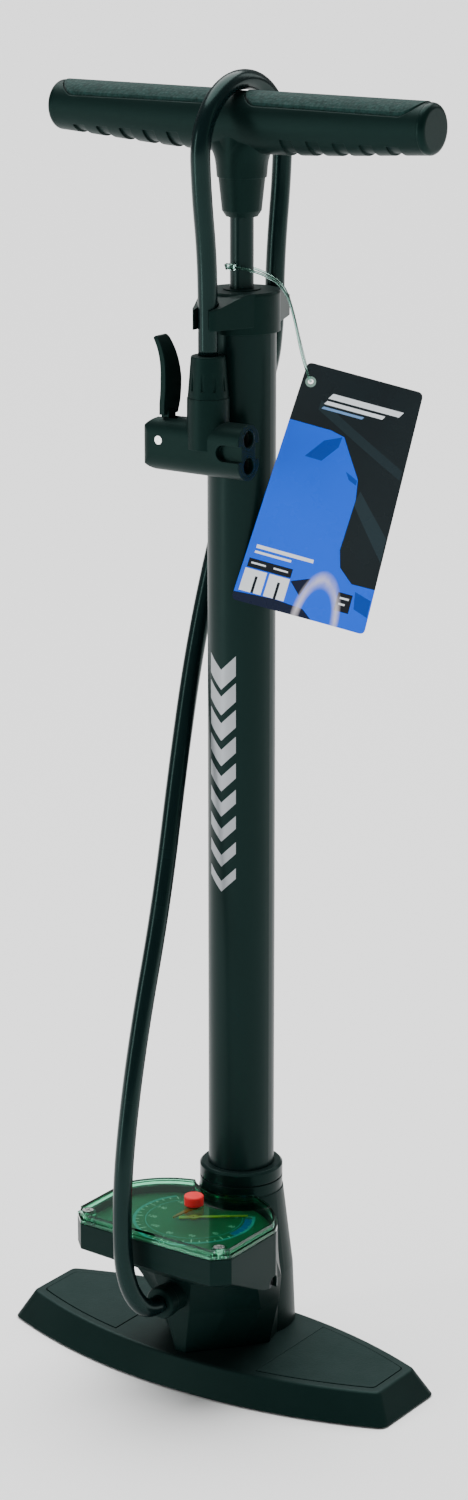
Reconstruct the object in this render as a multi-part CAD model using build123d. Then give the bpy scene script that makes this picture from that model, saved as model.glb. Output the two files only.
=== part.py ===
"""Floor bike pump: an upright hand pump with a gauge in its foot and a hose looped over its handle.

Millimetres, +Z up.  The origin is on the pump barrel's axis at floor level.
+X points along the handle and the foot, and -Y points to the front, where the gauge is.
"""
from build123d import *
import math
import os

# ------------------------------------------------------------------ driving dimensions
# barrel and rod
barrel_od = 35.0
barrel_wall = 1.5
barrel_bottom = 34.0
barrel_top = 570.0
rod_od = 12.0
rod_wall = 1.5
handle_height = 658.5           # middle of the hand grip above the floor

# foot
foot_length = 242.0
foot_width = 99.0               # across the middle
foot_end_width = 49.0
foot_forward = 20.6             # how far the foot's middle lies in front of the barrel
foot_top = 16.0
foot_clearance = 1.0            # floor to the foot's own underside
foot_slope = 8.5                # how far the side walls lean in
foot_wall = 3.0

# tower
tower_top = 93.0
tower_top_radius = 22.6
tower_waist_height = 48.0
tower_waist_radius = 28.0
tower_bottom_radius = 29.4
collar_height = 14.0
collar_od = 44.4

# gauge
gauge_width = 99.0
gauge_front = 88.5              # barrel axis to the gauge's front wall
gauge_side_back = 40.0          # where the straight sides end
gauge_corner = 8.0              # how much each front corner is cut back
gauge_floor = 79.5
gauge_underside = 76.5
gauge_rim = 90.4
gauge_wall = 2.8
lens_height = 5.0
lens_wall = 1.8
gasket_thickness = 0.6
dial_level = 86.0
dial_thickness = 0.8
pivot_y = -44.0
needle_length = 28.6
needle_rest_angle = 38.5        # from +X, seen from above
needle_sweep = 256.0
marker_length = 17.0
knob_radius = 5.2
knob_height = 5.2

# gear train inside the gauge
tooth_module = 0.5
pinion_teeth = 10
sector_full_teeth = 80
gear_thickness = 1.2
gear_level = 81.4

# handle
grip_length = 218.0
grip_end_radius = 12.7
grip_middle_depth = 28.0
grip_middle_height = 30.6
end_cap_thickness = 3.5
stem_bottom = 612.0
stem_top_radius = 13.0
stem_bottom_radius = 10.0
pad_length = 103.0
pad_width = 21.0
pad_depth = 1.8
pad_proud = 0.5
pad_centre = 56.0

# barrel cap and hose clips
cap_radius = 19.5
cap_bottom = 555.0
cap_top = 575.5
clip_reach = 29.5               # barrel axis to the hose's axis at each clip
clip_wall = 2.3

# hose and chuck
hose_od = 10.0
boss_front = 70.0
boss_height = 51.0
boss_radius = 8.0
nut_length = 6.0
nut_radius = 8.6
chuck_y = -29.5
chuck_middle = 499.5
port_spacing = 13.6
port_radius = 7.3
port_bore = 4.3
port_end = 24.5
boot_bottom = 525.0
boot_top = 546.0
lever_pin_x = -24.3
lever_pin_z = 502.1
lever_pin_radius = 2.2
lever_tip_z = 553.8
lever_hub_radius = 6.4
lever_blade = 3.0                # thickness
lever_width = 14.0
slot_half = 3.4

# hang tag
tag_top_width = 60.0
tag_bottom_width = 70.0
tag_length = 127.0
tag_thickness = 0.8
tag_reach = 19.5                # barrel axis to the card's middle plane
tag_facing = 34.6               # turn of the card about +Z away from the front
tag_tilt = 15.3
tag_hole_radius = 1.4
loop_diameter = 1.3

# named clearances
fit = 0.05                      # between a shaft and its bearing
slack = 0.3                     # between bodies that move past each other
seat = 0.1                      # between pieces of one body

# ------------------------------------------------------------------ derived values
barrel_radius = barrel_od / 2
barrel_bore = barrel_radius - barrel_wall
rod_radius = rod_od / 2
rod_bore = rod_radius - rod_wall
pivot_radius = tooth_module * (pinion_teeth + sector_full_teeth) / 2
sector_y = pivot_y - pivot_radius


def slab(face, bottom, top):
    """A prism of a flat face, from one height to another."""
    return extrude(Pos(0, 0, bottom) * face, top - bottom)


def rod_between(start, end, radius):
    """A round bar between two points."""
    a = Vector(*start)
    b = Vector(*end)
    plane = Plane(origin=a, z_dir=b - a)
    return extrude(plane * Circle(radius), (b - a).length)


def ring(outer, inner, bottom, top):
    """A flat-ended ring about the Z axis."""
    return slab(Circle(outer) - Circle(inner), bottom, top)


def block(x0, x1, y0, y1, z0, z1):
    """A box given by its six faces."""
    return Pos((x0 + x1) / 2, (y0 + y1) / 2, (z0 + z1) / 2) * Box(x1 - x0, y1 - y0, z1 - z0)


nodes = {}


def save(name, shape):
    """Keep a finished node under its name."""
    nodes[name] = shape


# ------------------------------------------------------------------ foot
def foot_face(inset):
    """The foot's boat-shaped plan, drawn in by inset on every side."""
    half = foot_length / 2 - inset
    middle = foot_width / 2 - inset
    end = foot_end_width / 2 - inset * 0.8
    front = ThreePointArc((-half, -end), (0, -middle), (half, -end))
    right = Line((half, -end), (half, end))
    back = ThreePointArc((half, end), (0, middle), (-half, end))
    left = Line((-half, end), (-half, -end))
    face = make_face([front, right, back, left])
    return Pos(0, -foot_forward) * fillet(face.vertices(), 6.0 - inset * 0.2)


def sweep_between(low_face, low, high_face, high):
    """A straight-sided body between two outlines."""
    return loft([Pos(0, 0, low) * low_face, Pos(0, 0, high) * high_face], ruled=True)


foot_body = sweep_between(foot_face(0), foot_clearance, foot_face(foot_slope), foot_top)
foot_body = fillet(foot_body.faces().sort_by(Axis.Z)[-1].edges(), 2.0)

# a grid of blind pockets under each wing, between ribs, with a boss over each rubber pad
rib_pitch = 26.0
rib_width = 3.0
rib_count = 3
rib_start = 30.0
pocket_top = foot_top - foot_wall - 3.0
plan_sagitta = (foot_width - foot_end_width) / 2
plan_radius = ((foot_length / 2) ** 2 + plan_sagitta ** 2) / (2 * plan_sagitta)
for side in (-1, 1):
    for step in range(rib_count):
        near = rib_start + step * rib_pitch
        far = near + rib_pitch - rib_width
        half = foot_width / 2 - far ** 2 / (2 * plan_radius) - foot_slope - foot_wall
        x0 = min(side * near, side * far)
        x1 = max(side * near, side * far)
        for y0, y1 in ((-half, -rib_width / 2), (rib_width / 2, half)):
            pocket = block(x0, x1, y0, y1, foot_clearance - 1, pocket_top)
            foot_body -= Pos(0, -foot_forward) * pocket

pad_radius = 8.0
pad_height = 3.0
pad_places = [(0.0, 0.0), (0.0, -foot_forward - 32.0)]
pad_reach = foot_length / 2 - foot_slope - pad_radius - foot_wall
for x in (-pad_reach, pad_reach):
    for y in (-10.5, 10.5):
        pad_places.append((x, y - foot_forward))
foot_pads = []
for x, y in pad_places:
    foot_body += Pos(x, y, 0) * slab(Circle(pad_radius + 1.5), foot_clearance, pocket_top)
    foot_body -= Pos(x, y, 0) * slab(Circle(pad_radius + seat), 0, pad_height)
    foot_pads.append(Pos(x, y, 0) * slab(Circle(pad_radius), 0, pad_height))

pad_plan = foot_face(foot_slope + 5.0)
tread_depth = 1.2
tread_start = 46.0
tread_gap = 0.5
tread_end = foot_length / 2 - foot_slope - 5.0
treads = []
for side in (-1, 1):
    x0 = min(side * tread_start, side * (tread_end + 20))
    x1 = max(side * tread_start, side * (tread_end + 20))
    window = block(x0, x1, -100, 60, foot_top - tread_depth, foot_top + 5)
    tread = slab(pad_plan, foot_top - tread_depth, foot_top + 0.2) & window
    treads.append(tread)
    groove = slab(foot_face(foot_slope + 5.0 - tread_gap), foot_top - tread_depth, foot_top + 5)
    reach = block(x0 - tread_gap, x1 + tread_gap, -100, 60, foot_top - tread_depth, foot_top + 5)
    foot_body -= groove & reach

foot_screw_places = [(-19.0, 12.0), (19.0, 12.0), (-19.0, -34.0), (19.0, -34.0)]
foot_screws = []
screw_radius = 2.0
screw_head = 3.6
for x, y in foot_screw_places:
    head = slab(Circle(screw_head), foot_clearance + 0.5, foot_clearance + 3.0)
    slot = block(-screw_head, screw_head, -0.5, 0.5, foot_clearance, foot_clearance + 1.5)
    shank = slab(Circle(screw_radius), foot_clearance + 3.0, foot_top + 12.0)
    foot_screws.append(Pos(x, y, 0) * (head + shank - slot))
    foot_body -= Pos(x, y, 0) * slab(Circle(screw_head + seat), 0, foot_clearance + 3.0)
    foot_body -= Pos(x, y, 0) * slab(Circle(screw_radius + seat), 0, foot_top + 5)

save("foot_plate", foot_body)
save("foot_treads", Compound(children=treads))
save("foot_pads", Compound(children=foot_pads))
save("foot_screws", Compound(children=foot_screws))


# ------------------------------------------------------------------ gauge outline
def gauge_face(inset, back_radius):
    """The gauge's plan: a straight front, cut corners, and a back that wraps the tower."""
    half = gauge_width / 2
    front = -gauge_front
    side = -gauge_side_back
    wrap = tower_top_radius + 0.6
    wrap_x = wrap * math.sin(math.radians(53))
    wrap_y = -wrap * math.cos(math.radians(53))
    bulge_x = half * 0.735
    bulge_y = side + 17.5
    edges = [
        Line((-half + gauge_corner, front), (half - gauge_corner, front)),
        Line((half - gauge_corner, front), (half, front + gauge_corner)),
        Line((half, front + gauge_corner), (half, side)),
        ThreePointArc((half, side), (bulge_x, bulge_y), (wrap_x, wrap_y)),
        ThreePointArc((wrap_x, wrap_y), (0, -wrap), (-wrap_x, wrap_y)),
        ThreePointArc((-wrap_x, wrap_y), (-bulge_x, bulge_y), (-half, side)),
        Line((-half, side), (-half, front + gauge_corner)),
        Line((-half, front + gauge_corner), (-half + gauge_corner, front)),
    ]
    face = make_face(edges)
    if inset:
        face = offset(face, amount=-inset, kind=Kind.INTERSECTION)
    return face - Circle(back_radius)


# ------------------------------------------------------------------ tower
def prow(points, height):
    """A flat outline at a height, mirrored about the middle plane."""
    right = [(x, y) for x, y in points]
    left = [(-x, y) for x, y in reversed(points) if x > 0]
    return Pos(0, 0, height) * make_face(Polyline(right + left, close=True))


half_gauge = gauge_width / 2
keel = prow([(3, -57), (11, -47), (24, -32), (32, -20), (28, -6)], foot_top)
waist = prow([(8, -60), (23.5, -49), (36, -34), (37, -18), (28, -6)], 42.0)
throat = prow([(12, -64), (29, -58), (45, -50), (45, -28), (28, -6)], 61.0)
crown = prow([
    (half_gauge - gauge_corner, -gauge_front),
    (half_gauge, -gauge_front + gauge_corner),
    (half_gauge, -gauge_side_back - 12.0),
    (half_gauge, -gauge_side_back),
    (28, -6),
], gauge_underside)

# the gauge's side walls run down towards the back
skirt_outline = Polyline(
    (-gauge_front + gauge_corner, gauge_underside + 1.0),
    (-gauge_front + gauge_corner, gauge_underside),
    (-51.0, 62.0),
    (-24.0, 56.0),
    (-12.0, 56.0),
    (-12.0, gauge_underside + 1.0),
    close=True,
)
skirt_profile = extrude(Plane.YZ * make_face(skirt_outline), half_gauge, both=True)

column_outline = Polyline(
    (0, foot_top),
    (tower_bottom_radius, foot_top),
    (tower_waist_radius, tower_waist_height),
    (tower_top_radius, tower_top),
    (0, tower_top),
    close=True,
)
column = revolve(Plane.XZ * make_face(column_outline), Axis.Z)
under_gauge = loft([keel, waist, throat, crown], ruled=True)
cup_plan = gauge_face(0, 0.5)
cup = slab(cup_plan, gauge_underside, gauge_rim)
boss = rod_between((0, -45, boss_height), (0, -boss_front, boss_height), boss_radius)
skirt = skirt_profile & slab(gauge_face(0, 0.5), 50.0, gauge_underside + 1.0)
tower = column + under_gauge + skirt + cup + boss

floor_plan = gauge_face(gauge_wall + 1.4, tower_top_radius + 2.6)
upper_plan = gauge_face(gauge_wall, tower_top_radius + 1.6)
tower -= slab(floor_plan, gauge_floor, gauge_rim + 1)
tower -= slab(upper_plan, dial_level, gauge_rim + 1)
corner_inset = 7.4
corner_places = []
for side in (-1, 1):
    corner_places.append((side * (half_gauge - corner_inset), -gauge_front + corner_inset))
post_radius = 4.4
post_hole = 1.5
for x, y in corner_places:
    post = Pos(x, y, 0) * slab(Circle(post_radius), gauge_underside, gauge_rim)
    tower += post
    tower -= Pos(x, y, 0) * slab(Circle(post_hole + seat), gauge_underside + 3, gauge_rim + 1)

tower -= slab(Circle(barrel_radius + seat), barrel_bottom - 2, tower_top + 1)
duct = 2.0
sump = 27.0
riser_y = -25.0
stem_y = -35.0
tower -= rod_between((0, 0, sump), (0, 0, barrel_bottom), 4.0)
tower -= rod_between((0, 2, sump), (0, riser_y, sump), duct)
tower -= rod_between((0, riser_y, sump - duct), (0, riser_y, boss_height), duct)
tower -= rod_between((0, riser_y, boss_height), (0, -boss_front - 1, boss_height), duct)
tower -= rod_between((0, stem_y, boss_height), (0, stem_y, gauge_floor + 1), duct)
barb_radius = 3.5
barb_socket = (0, -boss_front + 14, boss_height)
tower -= rod_between(barb_socket, (0, -boss_front - 1, boss_height), barb_radius + seat)
stem_radius = 4.0
tower -= slab(Pos(0, stem_y) * Circle(stem_radius + seat), gauge_floor - 8, gauge_floor + 1)

side_screw_y = -41.0
side_screw_z = 62.0
recess_radius = 4.6
recess_floor = half_gauge - 3.5
head_thickness = 2.5
screw_reach = 12.0
side_screws = []
for side in (-1, 1):
    floor_x = side * recess_floor
    base_x = side * (recess_floor - head_thickness)
    tip_x = side * (recess_floor - screw_reach)
    base = (base_x, side_screw_y, side_screw_z)
    tower -= rod_between((side * 60, side_screw_y, side_screw_z), base, recess_radius)
    head = rod_between(base, (floor_x, side_screw_y, side_screw_z), 3.8)
    shank = rod_between(base, (tip_x, side_screw_y, side_screw_z), 1.8)
    tower -= rod_between(base, (tip_x - side * 0.5, side_screw_y, side_screw_z), 1.9)
    slot_x = (floor_x - side * 1.0, floor_x + side * 1.0)
    upright = block(min(slot_x), max(slot_x), side_screw_y - 0.5, side_screw_y + 0.5,
                    side_screw_z - 2.4, side_screw_z + 2.4)
    level = block(min(slot_x), max(slot_x), side_screw_y - 2.4, side_screw_y + 2.4,
                  side_screw_z - 0.5, side_screw_z + 0.5)
    side_screws.append(head + shank - upright - level)

for x, y in foot_screw_places:
    tower -= Pos(x, y, 0) * slab(Circle(screw_radius + seat), foot_top - 1, foot_top + 12.5)
save("tower_shell", tower)
save("side_screws", Compound(children=side_screws))


# ------------------------------------------------------------------ barrel and check valve
collar_rim = 1.2
collar = ring(collar_od / 2, barrel_radius + seat, tower_top, tower_top + collar_height)
collar = chamfer(collar.edges().group_by(Axis.Z)[-1].sort_by(SortBy.RADIUS)[-1], collar_rim)
collar_groove = 0.8
groove_level = tower_top + collar_height / 2
collar -= ring(collar_od / 2 + 1, collar_od / 2 - collar_groove, groove_level - collar_groove, groove_level)
save("barrel_collar", collar)
save("barrel_tube", ring(barrel_radius, barrel_bore, barrel_bottom, barrel_top))

gasket_drop = 2.0
save("barrel_gasket", ring(barrel_radius - seat, 5.0, barrel_bottom - gasket_drop, barrel_bottom))

valve_bottom = barrel_bottom
valve_top = 52.0
seat_level = 48.0
chamber_radius = 5.5
inlet_radius = 2.0
disc_radius = 4.5
disc_thickness = 2.0
plug_top = 38.0
valve_body = ring(barrel_bore - seat, inlet_radius, valve_bottom, valve_top)
valve_body -= slab(Circle(chamber_radius), valve_bottom - 1, seat_level)
valve_groove = 46.0
groove_width = 2.6
groove_depth = 1.6
ring_section = groove_width - 2 * seat
valve_body -= ring(barrel_bore + 1, barrel_bore - groove_depth, valve_groove - groove_width, valve_groove)
save("valve_body", valve_body)
o_ring_low = valve_groove - groove_width + seat
o_ring_outer = barrel_bore - seat / 2
o_ring_inner = barrel_bore - groove_depth + seat / 2
o_ring = ring(o_ring_outer, o_ring_inner, o_ring_low, o_ring_low + ring_section)
save("valve_o_ring", o_ring)
plug = ring(chamber_radius - seat, 1.5, valve_bottom, plug_top)
save("valve_plug", plug)
disc_top = seat_level - seat
disc_bottom = disc_top - disc_thickness
save("valve_disc", slab(Circle(disc_radius), disc_bottom, disc_top))
spring_wire = 0.7
spring_radius = 3.3
spring_low = plug_top + spring_wire / 2 + seat
spring_high = disc_bottom - spring_wire / 2 - slack
spring_turns = 5
spring_path = Helix((spring_high - spring_low) / spring_turns, spring_high - spring_low, spring_radius)
spring_start = Plane(origin=spring_path @ 0, z_dir=spring_path % 0)
spring = sweep(spring_start * Circle(spring_wire / 2), path=spring_path)
save("valve_spring", Pos(0, 0, spring_low) * spring)

# ------------------------------------------------------------------ plunger
stem_rod_top = 646.0
piston_bottom = 57.5
piston_height = 12.0
piston_top = piston_bottom + piston_height
piston_radius = barrel_bore - 0.6
spigot_radius = 4.0
spigot_bottom = 53.2
piston = ring(piston_radius, spigot_radius + fit, piston_bottom, piston_top)
cup_low = piston_bottom + 2.5
cup_high = piston_top - 3.5
piston -= ring(piston_radius + 1, piston_radius - 3.0, cup_low, cup_high)
save("piston", piston)
cup_radius = barrel_bore - slack
save("piston_cup", ring(cup_radius, piston_radius - 3.0 + seat, cup_low + seat, cup_high - seat))
nut_height = 3.8
nut_size = 7.0
hexagon = RegularPolygon(nut_size, 6)
save("piston_nut", slab(hexagon - Circle(spigot_radius + fit), piston_bottom - nut_height, piston_bottom))
washer_thickness = 1.5
save("piston_washer", ring(9.5, spigot_radius + fit, piston_top, piston_top + washer_thickness))
rod_low = piston_top + washer_thickness
rod = ring(rod_radius, rod_bore, rod_low, stem_rod_top)
rod += ring(spigot_radius, 1.5, spigot_bottom, rod_low + 4.0)
rod += ring(rod_radius, 1.5, rod_low, rod_low + 4.0)
save("piston_rod", rod)
bumper_length = 7.0
save("top_bumper", ring(10.5, rod_radius + fit, rod_low, rod_low + bumper_length))


def grip_body(grow):
    """The hand grip's skin, grown or shrunk all round."""
    half = grip_length / 2
    sections = []
    for share in (-1.0, -0.5, 0.0, 0.5, 1.0):
        blend = 1 - abs(share) ** 1.6
        depth = grip_end_radius + (grip_middle_depth / 2 - grip_end_radius) * blend + grow
        height = grip_end_radius + (grip_middle_height / 2 - grip_end_radius) * blend + grow
        centre = handle_height + grip_middle_height / 2 - height + grow
        plane = Plane(origin=(share * half, 0, centre), x_dir=(0, 1, 0), z_dir=(1, 0, 0))
        sections.append(plane * Ellipse(depth, height))
    return loft(sections)


grip = grip_body(0)
stem_outline = Polyline(
    (0, stem_bottom),
    (stem_bottom_radius - 2.0, stem_bottom),
    (stem_bottom_radius, stem_bottom + 3.0),
    (stem_top_radius, handle_height - 16.0),
    (stem_top_radius - 0.4, handle_height - 4.0),
    (0, handle_height - 4.0),
    close=True,
)
stem = revolve(Plane.XZ * make_face(stem_outline), Axis.Z)
flare_sections = []
for drop, half_wide, half_deep in (
    (27.0, 12.5, 12.5),
    (19.5, 13.4, 13.0),
    (14.5, 15.6, 13.0),
    (10.5, 20.0, 12.4),
    (7.0, 25.0, 11.5),
):
    flare_sections.append(Pos(0, 0, handle_height - drop) * Ellipse(half_wide, half_deep))
flare = loft(flare_sections)
handle = grip + stem + flare

pad_skin = grip_body(pad_proud)
pad_core = grip_body(-pad_depth)
pads = []
for side in (-1, 1):
    plan = Pos(side * pad_centre, 0) * SlotOverall(pad_length, pad_width)
    moat = Pos(side * pad_centre, 0) * SlotOverall(pad_length + 1.4, pad_width + 1.4)
    prism = slab(plan, handle_height, handle_height + 30)
    trench = slab(moat, handle_height, handle_height + 30)
    pads.append((pad_skin - pad_core) & prism)
    handle -= trench - pad_core

notch_start = 34.0
notch_pitch = 15.0
notch_width = 7.0
notch_depth = 1.1
notch_count = 5
for side in (-1, 1):
    for step in range(notch_count):
        x = side * (notch_start + step * notch_pitch)
        low = handle_height - 30.0
        cutter = block(x - notch_width / 2, x + notch_width / 2, -30, 30, low, handle_height - 6.0)
        handle -= cutter - grip_body(-notch_depth)

handle -= slab(Circle(rod_radius + fit), stem_bottom - 1, stem_rod_top + seat)
anchor_low = 628.0
anchor_high = 636.0
anchor_size = 9.0
anchor = slab(RegularPolygon(anchor_size, 6) - Circle(rod_radius + fit), anchor_low, anchor_high)
handle -= slab(RegularPolygon(anchor_size + seat, 6), anchor_low - seat, anchor_high + seat)
save("handle_grip", handle)
save("grip_pads", Compound(children=pads))
save("handle_anchor_nut", anchor)
end_caps = []
for side in (-1, 1):
    centre = handle_height + grip_middle_height / 2 - grip_end_radius
    x0 = side * grip_length / 2
    plane = Plane(origin=(x0, 0, centre), z_dir=(side, 0, 0))
    cap = extrude(plane * Circle(grip_end_radius), end_cap_thickness)
    outer_face = cap.faces().sort_by(Axis.X)[-1 if side > 0 else 0]
    end_caps.append(fillet(outer_face.edges(), 2.8))
save("handle_end_caps", Compound(children=end_caps))

# ------------------------------------------------------------------ barrel cap
bush_radius = 9.5
bush_bottom = 566.0
wiper_radius = 8.5
cap = ring(cap_radius, barrel_radius + fit, cap_bottom, barrel_top)
cap += ring(cap_radius, bush_radius + seat, barrel_top, cap_top)
cap = fillet(cap.edges().group_by(Axis.Z)[-1].sort_by(SortBy.RADIUS)[-1], 1.5)
clip_inner = hose_od / 2 + slack + 0.1
clip_outer = clip_inner + clip_wall
web_top_drop = 5.2
web_low = 559.0
for side in (-1, 1):
    centre = Pos(0, side * clip_reach)
    outline = make_hull(Circle(cap_radius - 0.6).edges() + (centre * Circle(clip_outer)).edges())
    web = slab(outline, web_low, cap_top)
    slope = Polyline(
        (side * cap_radius * 0.8, cap_top),
        (side * clip_reach, cap_top - web_top_drop),
        (side * (clip_reach + 10.0), cap_top - web_top_drop - 2.5),
        (side * (clip_reach + 10.0), cap_top + 5.0),
        (side * cap_radius * 0.8, cap_top + 5.0),
        close=True,
    )
    web -= extrude(Plane.YZ * make_face(slope), 30.0, both=True)
    web -= slab(Circle(barrel_radius + fit), web_low - 1, barrel_top)
    web -= slab(Circle(bush_radius + seat), barrel_top - 1, cap_top + 1)
    web -= slab(centre * Circle(clip_inner), web_low - 1, cap_top + 1)
    web -= slab(centre * (Pos(0, side * 8) * Rectangle(2 * clip_inner - 1.2, 16)), web_low - 1, cap_top + 1)
    cap += web
save("barrel_cap", cap)
bush = ring(bush_radius, rod_radius + fit, bush_bottom, cap_top + 0.6)
bush += ring(barrel_bore - seat, rod_radius + fit, bush_bottom, bush_bottom + 3.0)
save("rod_bush", bush)
save("rod_wiper", ring(wiper_radius, rod_radius + slack, bush_bottom - 3.0, bush_bottom))


# ------------------------------------------------------------------ gauge works
plate_thickness = 1.0
bridge_level = 84.0
bridge_thickness = 1.0
arbor_radius = 0.7
works_half = 10.5
plate_top = gauge_floor + plate_thickness
bridge_top = bridge_level + bridge_thickness
plate = block(-works_half, works_half, sector_y - 9.0, pivot_y + 4.6, gauge_floor, plate_top)
bridge = block(-works_half, works_half, sector_y - 4.0, pivot_y + 4.0, bridge_level, bridge_top)
sector_pin_radius = 1.0
plate += Pos(0, sector_y) * slab(Circle(sector_pin_radius), gauge_floor, bridge_level)
bridge_posts = [(-8.8, sector_y - 2.4), (8.8, sector_y - 2.4), (-8.8, pivot_y + 2.4), (8.8, pivot_y + 2.4)]
for x, y in bridge_posts:
    plate += Pos(x, y) * slab(Circle(1.2), gauge_floor, bridge_level)
bridge -= Pos(0, pivot_y) * slab(Circle(arbor_radius + fit), bridge_level - 1, bridge_level + 3)
plate -= Pos(0, pivot_y) * slab(Circle(arbor_radius + fit), gauge_floor - 1, gauge_floor + 3)
save("movement_plate", plate)
save("movement_bridge", bridge)

tooth_height = 0.36
tooth_root = 0.5
tooth_base = 0.46
tooth_tip = 0.26


def gear_tooth(pitch_radius, angle):
    """One tapered tooth whose middle lies at an angle, in degrees, about the gear's own axis."""
    root = pitch_radius - tooth_root - 0.1
    tip = pitch_radius + tooth_height
    outline = Polyline(
        (root, -tooth_base),
        (tip, -tooth_tip),
        (tip, tooth_tip),
        (root, tooth_base),
        close=True,
    )
    return Rot(0, 0, angle) * make_face(outline)


pinion_pitch = tooth_module * pinion_teeth / 2
sector_pitch = tooth_module * sector_full_teeth / 2
pinion_step = 360.0 / pinion_teeth
sector_step = 360.0 / sector_full_teeth
sector_swing = needle_sweep * pinion_teeth / sector_full_teeth
sector_hub = 3.0
sector_lead = 12.0
pinion_face = Circle(pinion_pitch - tooth_root)
for index in range(pinion_teeth):
    pinion_face += gear_tooth(pinion_pitch, -90.0 + (index + 0.5) * pinion_step)
pinion = Pos(0, pivot_y) * slab(pinion_face, gear_level - 0.4, gear_level + gear_thickness + 0.4)
arbor_top = dial_level + dial_thickness + 1.4
pinion += Pos(0, pivot_y) * slab(Circle(arbor_radius), gauge_floor + 0.2, arbor_top)
save("needle_pinion", pinion)

# at rest the sector's last teeth mesh, and it swings through the rest of them
sector_first = 90.0 - sector_swing - sector_lead / 2
sector_last = 90.0 + sector_lead / 2
rim_outer = sector_pitch - tooth_root
sector_face = Circle(sector_hub)
wedge_points = [(0.0, 0.0)]
for index in range(9):
    turn = math.radians(sector_first + (sector_last - sector_first) * index / 8)
    wedge_points.append((rim_outer * 1.2 * math.cos(turn), rim_outer * 1.2 * math.sin(turn)))
wedge = make_face(Polyline(wedge_points, close=True))
sector_face += wedge & Circle(rim_outer)
window_inner = 6.5
window_outer = rim_outer - 3.0
window_first = sector_first + 7.0
window_last = sector_last - 7.0
sector_face -= (
    (Circle(window_outer) - Circle(window_inner))
    & make_face(Polyline(
        (0, 0),
        (40 * math.cos(math.radians(window_first)), 40 * math.sin(math.radians(window_first))),
        (40 * math.cos(math.radians(window_last)), 40 * math.sin(math.radians(window_last))),
        close=True,
    ))
)
teeth_back = int((90.0 - sector_first) / sector_step)
teeth_ahead = int((sector_last - 90.0) / sector_step)
for index in range(-teeth_back, teeth_ahead + 1):
    sector_face += gear_tooth(sector_pitch, 90.0 + index * sector_step)
tail_middle = (sector_first + sector_last) / 2 + 180.0
tail = Rot(0, 0, tail_middle) * (Pos(4.0, 0) * Rectangle(8.0, 2.6))
sector_face += tail
sector_face -= Circle(sector_pin_radius + fit)
save("sector_gear", Pos(0, sector_y) * slab(sector_face, gear_level, gear_level + gear_thickness))

coil_centre_y = sector_y + 8.5
coil_radius = 23.0
coil_depth = 1.6
coil_height = 3.2
coil_first = 90.0
coil_arc = 285.0
coil_level = gauge_floor + 3.0
profile = Plane(origin=(0, coil_centre_y + coil_radius, coil_level), x_dir=(0, 1, 0), z_dir=(-1, 0, 0))
coil = revolve(
    profile * Rectangle(coil_depth, coil_height),
    Axis((0, coil_centre_y, 0), (0, 0, 1)),
    coil_arc,
)
tip_turn = math.radians(coil_first + coil_arc)
tip_place = Pos(coil_radius * math.cos(tip_turn), coil_centre_y + coil_radius * math.sin(tip_turn), 0)
coil += tip_place * slab(Circle(1.8), coil_level - coil_height / 2, coil_level + coil_height / 2)
save("bourdon_tube", coil)
stem_foot = slab(Pos(0, stem_y) * Circle(stem_radius), gauge_floor - 6.0, gauge_floor + 1.3)
stem_foot -= slab(Pos(0, stem_y) * Circle(1.2), gauge_floor - 7.0, gauge_floor)
save("gauge_stem", stem_foot)

dial_plan = gauge_face(gauge_wall + 0.3, tower_top_radius + 2.0)
dial = slab(dial_plan, dial_level, dial_level + dial_thickness)
for x, y in corner_places:
    dial -= Pos(x, y) * slab(Circle(post_radius + slack), dial_level - 1, dial_level + 2)
dial -= Pos(0, pivot_y) * slab(Circle(arbor_radius + slack), dial_level - 1, dial_level + 2)
save("dial_plate", dial)

needle_level = dial_level + dial_thickness + 0.5
needle_tail = 8.0
needle_outline = Polyline(
    (-needle_tail, -1.4),
    (0.0, -1.3),
    (needle_length, -0.3),
    (needle_length, 0.3),
    (0.0, 1.3),
    (-needle_tail, 1.4),
    close=True,
)
needle_face = make_face(needle_outline) + Circle(2.6)
needle_face -= Circle(arbor_radius)
needle = Rot(0, 0, needle_rest_angle) * slab(needle_face, needle_level, needle_level + 0.6)
save("needle", Pos(0, pivot_y) * needle)

gasket = slab(gauge_face(0.6, tower_top_radius + 1.0) - gauge_face(gauge_wall - 0.6, tower_top_radius + 2.0),
              gauge_rim, gauge_rim + gasket_thickness)
save("lens_gasket", gasket)

lens_bottom = gauge_rim + gasket_thickness
lens_top = lens_bottom + lens_height
lens_step = 1.6
lens_lip = 1.8
lens = slab(gauge_face(0, tower_top_radius + 0.5), lens_bottom, lens_bottom + lens_lip)
lens += slab(gauge_face(lens_step, tower_top_radius + 0.8), lens_bottom, lens_top)
lens -= slab(gauge_face(gauge_wall, tower_top_radius + 2.6), lens_bottom - 1, lens_top - lens_wall)
lens_screw_head = 2.9
head_depth = 1.4
for x, y in corner_places:
    lens += Pos(x, y) * slab(Circle(post_radius - 0.4), lens_bottom, lens_top)
    lens -= Pos(x, y) * slab(Circle(post_hole + seat), lens_bottom - 1, lens_top + 1)
    lens -= Pos(x, y) * slab(Circle(lens_screw_head + seat), lens_top - head_depth, lens_top + 1)
marker_shaft = 1.5
lens -= Pos(0, pivot_y) * slab(Circle(marker_shaft + fit), lens_bottom - 1, lens_top + 1)
save("lens_cover", lens)

lens_screws = []
for x, y in corner_places:
    screw = slab(Circle(lens_screw_head), lens_top - head_depth, lens_top - 0.2)
    screw += slab(Circle(post_hole), gauge_underside + 4, lens_top - head_depth)
    cross = block(-2.0, 2.0, -0.4, 0.4, lens_top - 0.9, lens_top)
    cross += block(-0.4, 0.4, -2.0, 2.0, lens_top - 0.9, lens_top)
    lens_screws.append(Pos(x, y) * (screw - cross))
save("lens_screws", Compound(children=lens_screws))

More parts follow.
